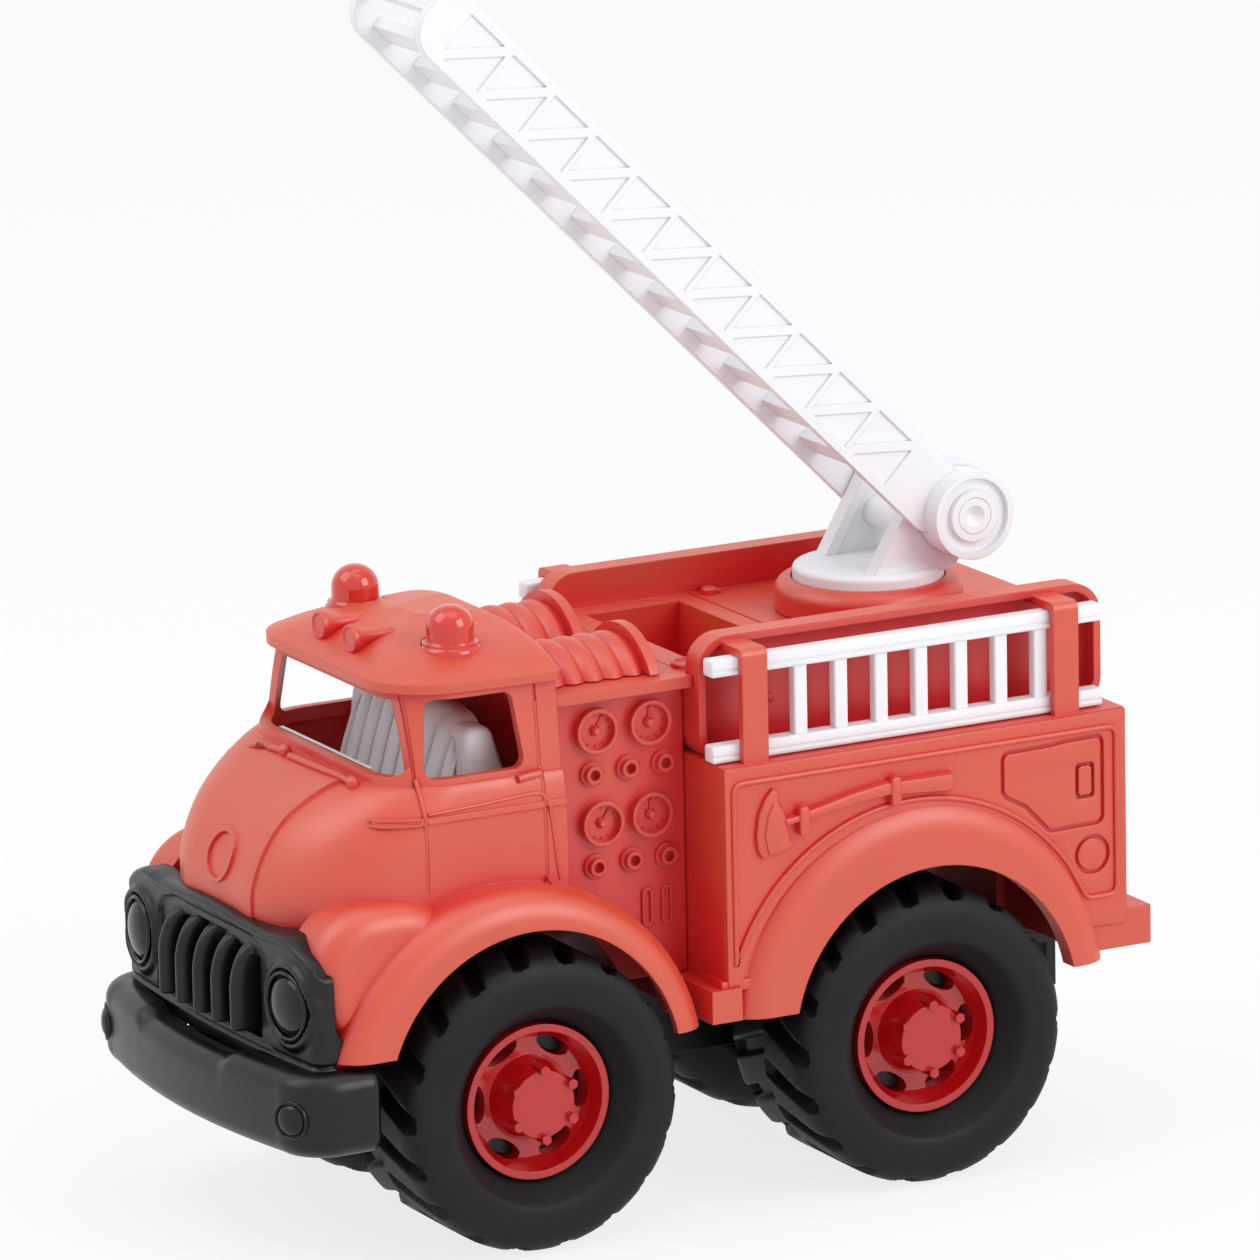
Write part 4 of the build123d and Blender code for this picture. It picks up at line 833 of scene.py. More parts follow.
# ------------------------------------------------------------------ grille, lamps and bumper
@dataclass
class Front:
    """Black grille shell with its fins, headlamps, bumper and fog lamps."""

    half: float = 57.5
    low_z: float = 55.0
    face_y: float = -123.0
    bow: float = 2.4                # how far the face has swept back at its corners
    corner: float = 4.5
    back_y: Pair = (-118.6, -112.0)     # nearest and furthest that the back edge may lie
    let_in: float = 0.9             # how far the back edge is let into the body
    crest: Outline = (
        (0.0, 93.1), (10.0, 93.0), (20.0, 92.3), (31.0, 91.8), (38.0, 92.4), (43.0, 92.3), (48.0, 90.8),
        (52.0, 88.9), (55.5, 86.4), (57.5, 83.8))
    crest_roll: float = 1.7
    frame_top: Outline = ((0.0, 89.4), (22.0, 89.2), (29.0, 87.6), (33.0, 84.0), (35.0, 60.0))
    fin_count: int = 5
    fin_pitch: float = 10.8
    fin_half: float = 2.7
    fin_reach: float = 4.9
    fin_z: Point = (61.6, 73.0, 86.6)   # foot, knee and tip
    fin_foot: float = 1.1           # how far a fin's flanks run in below the slots
    fin_full: float = 2.6           # 2 makes a fin's section round, more makes it fuller
    slot_half: float = 27.6
    slot_z: Pair = (61.4, 86.2)
    slot_depth: float = 3.2
    slot_arch: float = 3.2          # how much lower the slots' top is at the sides
    frame_sunk: float = 1.1         # how deep the face lies inside its frame
    frame_low: Pair = (58.4, 59.6)
    crest_bead: Pair = (0.55, 2.9)  # height and width of the bead along the crest
    crest_tuck: float = 1.2         # how much lower the crest's back edge is near its ends
    lamp: Pair = (45.0, 74.3)
    lamp_seat: float = 10.4
    lamp_rim: float = 1.5           # how far the ring round a headlamp's seat stands out
    lamp_turn: float = 7.0
    lens_rim: Outline = (           # distance along the axis, radius
        (-4.0, 9.2), (0.9, 9.6), (1.6, 9.4), (1.9, 9.0), (1.75, 8.6), (1.0, 8.35), (0.2, 8.3), (0.1, 8.2))
    lens: Point = (0.1, 3.1, 8.1)   # where the lens begins, its height, its radius
    bumper_half: float = 64.0
    bumper_y: Pair = (-134.1, -104.0)
    bumper_z: Point = (35.5, 56.2, 58.5)
    bumper_bow: float = 5.0
    bumper_corner: float = 14.0
    bumper_thick: float = 9.0
    bumper_round: float = 5.2
    bumper_step: Pair = (22.0, 28.5)
    bumper_lip: float = 0.6         # chamfer of the bumper's open edges
    bumper_end: Pair = (2.2, 1.6)   # length and depth of the rounding at the bumper's ends
    fog: tuple[float, float, float, float] = (50.0, -115.0, 46.5, 27.0)     # place, and turn outwards
    fog_rim: Outline = (
        (9.0, 5.0), (13.6, 5.4), (14.2, 5.4), (14.55, 5.1), (14.5, 4.8), (13.9, 4.5), (13.7, 4.4))
    fog_lens: Point = (13.7, 2.0, 4.35)

    @staticmethod
    def read(table: Sequence[Pair], across: float) -> float:
        """Look a height up in a table, the same on both sides of the middle."""
        across = min(abs(across), table[-1][0])
        for (low, low_value), (high, high_value) in zip(table, table[1:]):
            if across <= high:
                return low_value + (high_value - low_value) * (across - low) / (high - low)
        return table[-1][1]

    def plan(self, step: float = 0.45) -> list[tuple[Vector, Vector]]:
        """Line of the grille's face seen from above.

        Args:
            step: spacing of its points.

        Returns:
            Each point with its outward direction, from right to left.
        """
        edge_x = self.half - self.corner
        edge_y = self.face_y + self.bow
        left = [(edge_x * share, self.face_y + self.bow * share ** 2)
                for share in fractions(round(edge_x / step))[:-1]]
        left += [(edge_x + self.corner * math.sin(turn), edge_y + self.corner * (1 - math.cos(turn)))
                 for turn in fractions(10, math.pi / 2)]
        left += [(self.half, edge_y + self.corner + reach) for reach in (0.8, 1.7)]
        return both_sides(left)

    def proud(self, x: float, z: float) -> float:
        """How far the grille's skin stands out of its plain face.

        Args:
            x: place across.
            z: place upwards.

        Returns:
            The height in millimetres.
        """
        across = abs(x)
        frame_z = self.read(self.frame_top, across)
        height = -self.frame_sunk * smooth(frame_z - z, -0.4, 0.8) * smooth(z, *self.frame_low)
        slot_low, slot_high = self.slot_z
        arch = slot_high - self.slot_arch * smooth(across, 6.0, self.slot_half)
        inside = smooth(self.slot_half - across, -0.3, 0.5) * smooth(z, slot_low - 0.4, slot_low + 0.5)
        height -= self.slot_depth * inside * smooth(arch - z, -0.4, 0.7)
        fins = [(fin - (self.fin_count - 1) / 2) * self.fin_pitch for fin in range(self.fin_count)]
        off = min(abs(x - fin_x) for fin_x in fins) / self.fin_half
        low, knee, high = self.fin_z
        if off < 1.0 and low < z < high:
            lean = max(0.0, 1.0 - (max(z - knee, 0.0) / (high - knee)) ** 2) ** 0.5
            ridge = -self.slot_depth + (self.fin_reach + self.slot_depth) * lean * smooth(z, low, low + 1.2)
            foot = -self.slot_depth - self.fin_foot
            height = max(height, foot + (ridge - foot) * max(0.0, 1.0 - off ** self.fin_full) ** 0.5)
        lamp_x, lamp_z = self.lamp
        away = math.hypot(across - lamp_x, z - lamp_z)
        ring = smooth(away, self.lamp_seat - 0.6, self.lamp_seat)
        return height + self.lamp_rim * ring * smooth(self.lamp_seat + 2.6 - away, 0.0, 2.0)

    def rear_line(self, body: Skin, plan: Sequence[tuple[Vector, Vector]], level: float) -> list[float]:
        """How far back the shell reaches at one height, so that the body's skin hides its edge.

        Args:
            body: the skin behind the shell.
            plan: the face's line and directions.
            level: share of the way up to the crest.

        Returns:
            The y of each point's back edge.
        """
        near_y, far_y = self.back_y
        half = []
        last = far_y
        middle = len(plan) // 2
        for point, _ in plan[middle:]:
            z = self.low_z + (self.read(self.crest, point.x) - self.low_z) * level
            start = (min(point.x, self.half - 2.5), near_y - 2.0, z)
            hit = body.first(start, (0.0, 1.0, 0.0), far_y - near_y + 4.0)
            wanted = last if hit is None else min(max(hit.y + self.let_in, near_y), far_y)
            last += max(-0.12, min(0.12, wanted - last))
            half.append(last)
        return half[:0:-1] + half

    def grille(self) -> Shape:
        """The grille's shell."""
        plan = self.plan()
        body = Skin("cab_body")
        bead_rise, bead_width = self.crest_bead
        roll = self.crest_roll
        rings = []
        for level in fractions(84):
            front, back = [], []
            for (point, out), rear_y in zip(plan, self.rear_line(body, plan, level)):
                top = self.read(self.crest, point.x)
                z = self.low_z + (top - self.low_z) * level
                left = top - z
                bead = bead_rise * smooth(left, 0.0, 0.9) * smooth(bead_width - left, 0.0, 0.9)
                bead *= smooth(self.half - self.corner - abs(point.x), -1.0, 6.0)
                drop = roll - math.sqrt(max(roll * roll - max(roll - left, 0.0) ** 2, 0.0))
                skin = point + out * (self.proud(point.x, z) + bead - drop)
                front.append((skin.x, skin.y, z))
                tuck = self.crest_tuck * smooth(abs(point.x), 42.0, 50.0) * smooth(level, 0.8, 1.0)
                back.append((skin.x * (1 - 0.01 * level), max(rear_y, skin.y + 0.4), z - tuck))
            rings.append(front + back[::-1])
        return Shape().loft(rings, paired=True)

    @staticmethod
    def lamp_shape(profile: Sequence[Pair], place: Point, turned: float, side: int, sides: int) -> Shape:
        """Turn a lamp's profile round its own axis.

        Args:
            profile: distance along the axis and radius.
            place: the left-hand lamp's middle.
            turned: how far it looks outwards, in degrees.
            side: 1 for left, -1 for right.
            sides: points round the lamp.

        Returns:
            The lamp.
        """
        turn = math.radians(turned)
        axis = (side * math.sin(turn), -math.cos(turn), 0.0)
        return Shape().lathe(profile, (side * place[0], *place[1:]), axis, sides)

    def headlamp(self, side: int) -> Shape:
        """A headlamp: thin rim round a bulging lens."""
        lamp_x, lamp_z = self.lamp
        face = self.face_y + self.bow * (lamp_x / (self.half - self.corner)) ** 2
        profile = [*self.lens_rim, *dome(*self.lens, 14)]
        return self.lamp_shape(profile, (lamp_x, face, lamp_z), self.lamp_turn, side, 56)

    def fog_lamp(self, side: int) -> Shape:
        """A fog lamp: rim and bulging lens in the bumper's corner."""
        profile = [*self.fog_rim, *dome(*self.fog_lens, 12)]
        return self.lamp_shape(profile, self.fog[:3], self.fog[3], side, 44)

    def bumper(self) -> Shape:
        """The bumper: a bar with rounded edges, raised towards its ends, which are rounded off."""
        low_z, middle_z, end_z = self.bumper_z
        front_y, end_y = self.bumper_y
        length, depth = self.bumper_end
        lip = self.bumper_lip
        radius = self.bumper_corner
        centre_x = self.bumper_half - radius
        centre_y = front_y + self.bumper_bow + radius
        left = [(centre_x * share, front_y + self.bumper_bow * share ** 2) for share in fractions(46)[:-1]]
        left += [(centre_x + radius * math.sin(turn), centre_y - radius * math.cos(turn))
                 for turn in fractions(18, math.pi / 2)]
        left += [(self.bumper_half, centre_y + reach) for reach in fractions(8, end_y - centre_y)[1:]]
        rings = []
        for point, out in both_sides(left):
            high_z = middle_z + (end_z - middle_z) * smooth(abs(point.x), *self.bumper_step)
            end = max(0.0, min(1.0, (point.y - end_y + length) / length)) if abs(point.x) > centre_x else 0.0
            drawn = depth * (1 - math.sqrt(max(0.0, 1 - end * end)))
            section = [(-self.bumper_thick, low_z + lip), (-self.bumper_thick + lip, low_z)]
            for middle_up, start in ((low_z + self.bumper_round, -90.0), (high_z - self.bumper_round, 0.0)):
                section += [(-self.bumper_round + self.bumper_round * math.cos(math.radians(start + turn)),
                             middle_up + self.bumper_round * math.sin(math.radians(start + turn)))
                            for turn in fractions(8, 90)]
            section += [(-self.bumper_thick + lip, high_z), (-self.bumper_thick, high_z - lip)]
            rings.append([(*(point + out * (reach - (drawn if reach > -6.0 else 0.0))), z)
                          for reach, z in section])
        return Shape().loft(rings)

    def build(self) -> None:
        """Make the truck's black front."""
        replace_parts(self.grille().build("grille_shell", Slot.BLACK, "root", sharp=50.0), "grille")
        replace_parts(self.bumper().build("bumper_bar", Slot.BLACK, "root", sharp=50.0), "bumper")
        for name, side in SIDES:
            lamp = self.headlamp(side).build(f"headlamp_lens_{name}", Slot.LAMP, "root", sharp=60.0)
            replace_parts(lamp, f"headlamp_{name}")
            fog = self.fog_lamp(side).build(f"fog_lens_{name}", Slot.LAMP, "root", sharp=60.0)
            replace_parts(fog, f"fog_lamp_{name}")


# ------------------------------------------------------------------ side ladders
@dataclass
class SideLadders:
    """Ladders on the flanks: rails with a lengthwise groove, and their rungs."""

    centre_x: float = 53.1
    half_thick: float = 2.7
    ends_y: Pair = (1.4, 122.5)
    rail_z: Pair = (127.2, 150.9)
    rail_half: float = 2.4
    rail_round: float = 0.9
    rail_ends: Outline = ((0.0, 0.5), (0.15, 0.2), (0.5, 0.0))      # distance from the end, draw
    groove_z: float = -0.7
    groove: Outline = ((0.0, -0.45), (0.55, -0.2), (0.55, 0.2), (0.25, 0.5))    # depth, height
    rung_first: float = 16.5
    rung_pitch: float = 12.43
    rung_count: int = 8
    rung_half: float = 2.0
    rung_thick: float = 1.7         # half its thickness, across the truck

    def section(self) -> list[Pair]:
        """Section of a rail: x and z from its middle, rounded, with the groove in its outer face."""
        wide, high = self.half_thick, self.rail_half
        corners = rounded(box((-wide, -high), (wide, high)), self.rail_round, 4)
        low = [point for point in corners if point[1] < 0]
        groove = [(wide - depth, self.groove_z + rise) for depth, rise in self.groove]
        shelf = [(groove[-1][0], high - self.rail_round)]
        top = [point for point in corners if point[1] > 0 and point[0] < wide - 0.3]
        return low + groove + shelf + top

    def build(self) -> None:
        """Make both ladders."""
        start_y, end_y = self.ends_y
        stations = [(start_y + reach, draw) for reach, draw in self.rail_ends]
        stations += [(end_y - reach, draw) for reach, draw in self.rail_ends[::-1]]
        rung_low, rung_high = self.rail_z
        for name, side in SIDES:
            rails = Shape()
            for rail_z in self.rail_z:
                rings = []
                for y, draw in stations:
                    shrink = 1 - draw / self.rail_half
                    rings.append([(side * (self.centre_x + x * shrink), y, rail_z + z * shrink)
                                  for x, z in self.section()])
                rails.loft(rings)
            rung = Shape()
            outline = rounded(box((self.rung_first - self.rung_half, -self.rung_thick),
                                  (self.rung_first + self.rung_half, self.rung_thick)), 0.6, 3)
            rung.loft([[(side * (self.centre_x + x), y, z) for y, x in outline]
                       for z in (rung_low, rung_high)])
            centre = (side * self.centre_x, self.rung_first, rung_low)
            rungs = Repeat.ROW.apply(rung, self.rung_count, centre, (0.0, self.rung_pitch, 0.0), Slot.WHITE)
            work = bmesh.new()
            work.from_mesh(rungs)
            whole = rails.mesh("ladder")
            work.from_mesh(whole)
            bmesh.ops.recalc_face_normals(work, faces=work.faces)
            work.to_mesh(whole)
            work.free()
            ladder = adopt(whole, f"side_ladder_grooved_{name}", Slot.WHITE, "root", 40.0)
            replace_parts(ladder, f"side_ladder_{name}")


# ------------------------------------------------------------------ cargo body
@dataclass
class CargoSide:
    """Relief on the flanks of the cargo body: border, compartment door, cap and axe."""

    panel_x: float = 59.0
    sunk_rise: float = 1.1
    border_rise: float = 1.3
    sunk: float = 0.6               # how far a plate is let into the panel
    border_low: float = 3.4         # width of the border round the fender
    front_y: float = 2.15
    rear_y: float = 126.85
    low_z: float = 64.0
    high_z: float = 124.2
    field_y: Pair = (4.7, 123.6)
    field_z: Pair = (72.6, 119.9)
    fender: Pair = (60.0, 48.9)
    fender_ring: float = 59.1
    bead: Pair = (0.75, 1.35)     # half its width, and its middle above the panel
    bead_round: float = 2.8
    door: Outline = (
        (88.0, 116.8), (103.0, 117.1), (108.0, 117.6), (119.4, 117.8), (119.4, 93.4), (102.6, 93.1),
        (95.1, 101.0), (89.6, 104.0), (88.0, 105.4))
    handle: tuple[float, float, float, float] = (111.5, 116.3, 101.3, 110.2)
    cap: Point = (116.0, 84.6, 5.0)
    groove: float = 1.1
    axe_head: Outline = (
        (16.4, 117.4), (17.6, 116.2), (18.1, 112.5), (19.6, 111.2), (20.3, 108.8), (20.6, 106.3),
        (21.2, 103.6), (22.6, 100.8), (22.0, 100.0), (18.0, 99.0), (12.9, 98.3), (11.5, 101.0),
        (11.1, 104.8), (11.9, 110.6), (14.0, 115.0))
    axe_body: Outline = (
        (17.2, 113.6), (19.0, 111.0), (19.9, 108.6), (20.2, 106.2), (20.7, 103.6), (21.9, 100.7),
        (18.0, 99.8), (14.6, 99.3), (13.4, 104.6), (14.4, 110.0), (16.2, 113.4))
    handle_line: tuple[Point, ...] = (     # y, z, half width
        (19.8, 107.7, 1.1), (24.0, 108.3, 1.1), (26.0, 108.6, 1.5), (33.0, 109.9, 1.6), (41.0, 111.4, 1.9),
        (51.0, 112.5, 2.2), (56.0, 112.3, 2.3), (66.0, 111.9, 2.8), (70.0, 111.7, 3.0), (71.4, 111.6, 2.8))
    clips: Outline = ((25.2, 107.8), (53.6, 112.0))
    clip_box: tuple[Pair, Pair] = ((-1.5, -4.4), (1.5, 3.7))     # corners from a clip's middle

    def arc(self, radius: float, start: float, end: float, steps: int) -> list[Pair]:
        """Points over the rear fender.

        Args:
            radius: distance from the fender's middle.
            start: angle of the first point in degrees.
            end: angle of the last point.
            steps: number of points, less one.

        Returns:
            y and z of the points.
        """
        centre_y, centre_z = self.fender
        return [(centre_y + radius * math.cos(math.radians(start + turn)),
                 centre_z + radius * math.sin(math.radians(start + turn)))
                for turn in fractions(steps, end - start)]

    def field(self, draw: float) -> list[Pair]:
        """Outline of the sunken field inside the border.

        Args:
            draw: how far inside the bead's line.

        Returns:
            The outline, rounded at its upper corners.
        """
        centre_y, centre_z = self.fender
        ring = self.fender_ring + draw
        left, right = self.field_y[0] + draw, self.field_y[1] - draw
        low, top = self.field_z[0] + draw, self.field_z[1] - draw
        start = math.degrees(math.asin((low - centre_z) / ring))
        end = 180 - math.degrees(math.acos((centre_y - left) / ring))
        arc = self.arc(ring, start, end, 48)
        frame_line = [(left, top - 9.0), (left, top), (right, top), (right, low), arc[0], arc[4]]
        corners = rounded(frame_line, self.bead_round)
        steps = len(corners) // 6
        return corners[steps:5 * steps] + arc[4:]

    def build(self) -> None:
        """Make the relief on both flanks."""
        x = self.panel_x
        outer = [(self.front_y, self.low_z), (self.front_y, self.high_z), (self.rear_y, self.high_z),
                 (self.rear_y, self.low_z)]
        ring = self.fender_ring - self.border_low
        start = math.degrees(math.asin((self.low_z - self.fender[1]) / ring))
        arch = self.arc(ring, start, 180 - start, 40)
        outlines = [outer + arch, self.field(0.0)]
        frame_shape = relief("border", outlines, x - self.sunk, x + self.border_rise, 0.45)
        frame_shape.mirror().build("flank_borders", Slot.RED, "root", sharp=50.0)
        bead_half, bead_rise = self.bead
        line = [(x + bead_rise, y, z) for y, z in self.field(0.0)]
        beads = Shape().tube(line, bead_half, 10, closed=True)
        beads.mirror().build("flank_beads", Slot.RED, "root", sharp=50.0)
        half = self.groove / 2
        door = rounded(self.door, 2.4)
        low_y, high_y, low_z, high_z = self.handle
        handle = rounded(box((low_y, low_z), (high_y, high_z)), 0.6, 3)
        cap_y, cap_z, cap_radius = self.cap
        rings = [[(cap_y + y, cap_z + z) for y, z in circle(cap_radius + grow, 40)] for grow in (half, -half)]
        grooves = [inset(outline, way * half) for outline in (door, handle) for way in (-1, 1)]
        field_shape = relief("field", [self.field(-0.8), *grooves, *rings],
                             x - self.sunk, x + self.sunk_rise, 0.25)
        field_shape.mirror().build("flank_fields", Slot.RED, "root", sharp=50.0)
        self.axe().mirror().build("flank_axes", Slot.RED, "root", sharp=40.0)

    def axe(self) -> Shape:
        """The axe in relief with its two clips."""
        x = self.panel_x + self.sunk_rise
        shape = Shape().slab(self.axe_head, x - 0.5, x + 1.3, edge=0.45)
        shape.slab(self.axe_body, x + 0.8, x + 1.8, edge=0.35)
        line = self.handle_line
        rings = []
        for (y, z, half), before, after in zip(line, (line[0], *line), (*line[1:], line[-1])):
            along = Vector((after[0] - before[0], after[1] - before[1])).normalized()
            ring = []
            for turn in fractions(16, 2 * math.pi)[:-1]:
                across = half * math.cos(turn)
                rise = 2.6 * max(min(math.sin(turn) * 1.3, 1.0), -0.2)
                ring.append((x - 0.4 + rise, y - along.y * across, z + along.x * across))
            rings.append(ring)
        shape.loft(rings)
        for y, z in self.clips:
            corners = [(y + aside, z + up) for aside, up in box(*self.clip_box)]
            shape.slab(rounded(corners, 1.2, 4), x - 0.5, x + 2.7, edge=0.6)
        return shape


@dataclass
class Deck:
    """Small mouldings on the deck: seam line, locating tab, ring cap and wall pips."""

    deck_z: float = 147.0
    seam_y: float = 46.5
    seam_half: float = 39.4
    cap: Point = (33.0, 6.5, 4.9)
    cap_profile: Outline = (
        (-0.6, 1.0), (0.9, 0.97), (1.25, 0.9), (1.25, 0.8), (0.8, 0.74), (0.6, 0.7), (0.6, 0.0))
    tab: Pair = (-36.0, 50.7)
    tab_profile: Outline = ((-0.6, 2.3), (1.4, 2.3), (1.9, 1.9), (2.1, 1.2), (2.15, 0.0))
    tab_arm: float = 3.4
    pip: Point = (47.0, 25.7, 137.3)
    pip_profile: Outline = ((-0.4, 1.5), (0.9, 1.5), (1.3, 1.2), (1.5, 0.5), (1.52, 0.0))
    board_gap: Outline = ((0.3, 62.6), (9.5, 62.6), (9.5, 65.6), (0.3, 65.6))

    def build(self) -> None:
        """Make the deck's mouldings."""
        z = self.deck_z
        up = (0.0, 0.0, 1.0)
        shape = Shape().tube([(x, self.seam_y, z + 0.02) for x in (-self.seam_half, self.seam_half)], 0.55, 8)
        tab_x, tab_y = self.tab
        shape.lathe(self.tab_profile, (tab_x, tab_y, z), up, 20)
        shape.tube([(tab_x - self.tab_arm, tab_y, z + 0.3), (tab_x, tab_y, z + 0.7),
                    (tab_x - 0.2, tab_y + self.tab_arm, z + 0.3)], 0.9, 8)
        cap_x, cap_y, radius = self.cap
        profile = [(rise, radius * share) for rise, share in self.cap_profile]
        shape.lathe(profile, (cap_x, cap_y, z), up, 36)
        shape.build("deck_mouldings", Slot.RED, "root")
        wall_x = Skin("cargo_body").at((90.0, *self.pip[1:]), (-1.0, 0.0, 0.0)).x
        walls = Shape().lathe(self.pip_profile, (wall_x, *self.pip[1:]), (1, 0, 0), 20)
        walls.slab(self.board_gap, 50.0, 59.9, edge=0.4)
        walls.mirror().build("wall_mouldings", Slot.RED, "root")


# ------------------------------------------------------------------ pump panel
@dataclass
class PumpPanel:
    """Hands, hubs and scale marks of the gauges on both flanks of the pump house."""

    gauges: tuple[Point, ...] = (      # y, z, angle of the hand
        (-25.3, 134.5, 60.0), (-9.1, 134.7, 84.0), (-24.0, 108.8, 55.0), (-9.1, 109.2, 88.0))
    face_x: float = 38.5
    hub: Outline = ((-0.3, 1.5), (0.5, 1.5), (1.1, 1.1), (1.5, 0.6), (1.55, 0.0))
    hand: float = 4.2
    hand_tail: float = 1.6
    mark_radius: float = 4.5
    mark_reach: Pair = (-0.55, 0.3)     # its ends, from the circle of marks
    mark_count: int = 12

    def build(self) -> None:
        """Make hands, hubs and marks, left and right."""
        hands = Shape()
        for y, z, turn in self.gauges:
            hands.lathe(self.hub, (self.face_x, y, z), (1, 0, 0), 20)
            along = Vector((0.0, math.cos(math.radians(turn)), math.sin(math.radians(turn))))
            start = Vector((self.face_x + 0.2, y, z)) - along * self.hand_tail
            hands.tube([start, start + along * (self.hand + self.hand_tail)], 0.42, 8)
        hands.mirror().build("gauge_hands", Slot.RED, "root")
        mesh = bpy.data.meshes.new("gauge_marks")
        work = bmesh.new()
        for y, z, _ in self.gauges:
            ends = [(self.face_x + 0.02, y + self.mark_radius + reach, z) for reach in self.mark_reach]
            part = Repeat.ROUND.apply(Shape().tube(ends, 0.22, 6), self.mark_count, (self.face_x, y, z),
                                      (360 / self.mark_count, 0.0, 0.0), Slot.RED)
            work.from_mesh(part)
            bpy.data.meshes.remove(part)
        work.to_mesh(mesh)
        work.free()
        adopt(mirrored_mesh(mesh), "gauge_marks", Slot.RED, "root")


# ------------------------------------------------------------------ cab
@dataclass
class CabTrim:
    """Wipers, door handles, beads and shallow seams of the cab, its horns and beacon skirts."""

    wipers: tuple[Outline, ...] = (     # x and y along each rod, on the cowl
        ((-24.5, -97.4), (-20.0, -96.8), (-14.0, -95.8), (-7.3, -94.9)),
        ((-3.3, -95.6), (4.8, -95.4), (16.7, -95.0), (24.0, -94.4), (30.3, -93.7)))
    wiper_half: float = 0.95
    knob: Outline = ((-1.6, 1.75), (1.0, 1.75), (1.6, 1.4), (1.95, 0.7), (2.0, 0.0))
    handle: Outline = ((-53.9, 127.2), (-52.4, 127.4), (-49.8, 127.6), (-47.4, 127.8), (-46.3, 127.8))
    handle_half: float = 1.15
    seams_y: tuple[float, ...] = (-82.0, -46.5)
    seam_z: Outline = ((97.5, 130.0), (97.5, 147.0))
    seam_fill: Pair = (0.62, 0.55)       # half width of the strip that fills a seam, and how deep
    beads: tuple[Outline, ...] = (      # y and z, on the flank
        ((-95.5, 120.4), (-83.2, 120.3)),
        ((-95.5, 119.0), (-83.2, 118.9)),
        ((-81.0, 121.2), (-72.0, 121.7), (-60.3, 122.3), (-50.5, 122.9), (-47.6, 122.6), (-46.0, 121.4),
         (-45.2, 119.0), (-44.4, 113.0), (-43.4, 104.0), (-42.6, 98.5)))
    bead_half: float = 0.55
    horn_x: float = 9.2
    horn_y: float = -77.5
    horn_z: float = 161.3
    horn: Outline = (
        (-5.2, 2.6), (-5.9, 3.2), (-5.7, 3.8), (-4.8, 4.0), (-4.0, 3.7), (-2.4, 2.6), (-0.6, 2.0),
        (2.5, 1.7), (5.2, 1.65), (6.0, 1.9), (6.9, 1.85), (7.6, 1.3), (7.8, 0.3))
    beacon: Point = (28.0, -62.5, 159.4)
    skirt: Outline = (
        (-1.2, 6.7), (-1.2, 8.5), (0.2, 8.5), (0.9, 8.35), (1.5, 7.95), (2.1, 7.3), (2.7, 6.95),
        (3.1, 6.7), (3.1, 6.45))

    def build(self) -> None:
        """Make the cab's trim."""
        cab = Skin("cab_body")
        wipers = Shape()
        for line in self.wipers:
            path = [cab.at((x, y, 170.0), (0.0, 0.0, -1.0), 0.5) for x, y in line]
            wipers.tube(path, self.wiper_half, 12)
            wipers.lathe(self.knob, path[-1], (0.1, -0.4, 0.9), 24)
        wipers.build("wipers", Slot.RED, "root")
        handles = Shape().tube(cab.side_line(self.handle, 0.4), self.handle_half, 12)
        handles.mirror().build("door_handles", Slot.RED, "root")
        trim = Shape()
        for line in self.beads:
            trim.tube(cab.side_line(line, -0.1, 2.0), self.bead_half, 8)
        half, deep = self.seam_fill
        for seam_y, (low_z, high_z) in zip(self.seams_y, self.seam_z):
            path = cab.side_line([(seam_y + 2.0, low_z), (seam_y + 2.0, high_z)], -deep, 2.5)
            trim.tube([(point.x, seam_y, point.z) for point in path], half, 8)
        trim.mirror().build("cab_beads", Slot.RED, "root")
        horn = Shape().lathe(self.horn, (self.horn_x, self.horn_y, self.horn_z), (0.0, 1.0, 0.0), 32)
        horn.mirror().build("horn_trumpets", Slot.RED, "root", sharp=50.0)
        skirt = Shape().lathe(self.skirt, self.beacon, (0.0, 0.0, 1.0), 48)
        skirt.mirror().build("beacon_skirts", Slot.BEACON, "root", sharp=50.0)


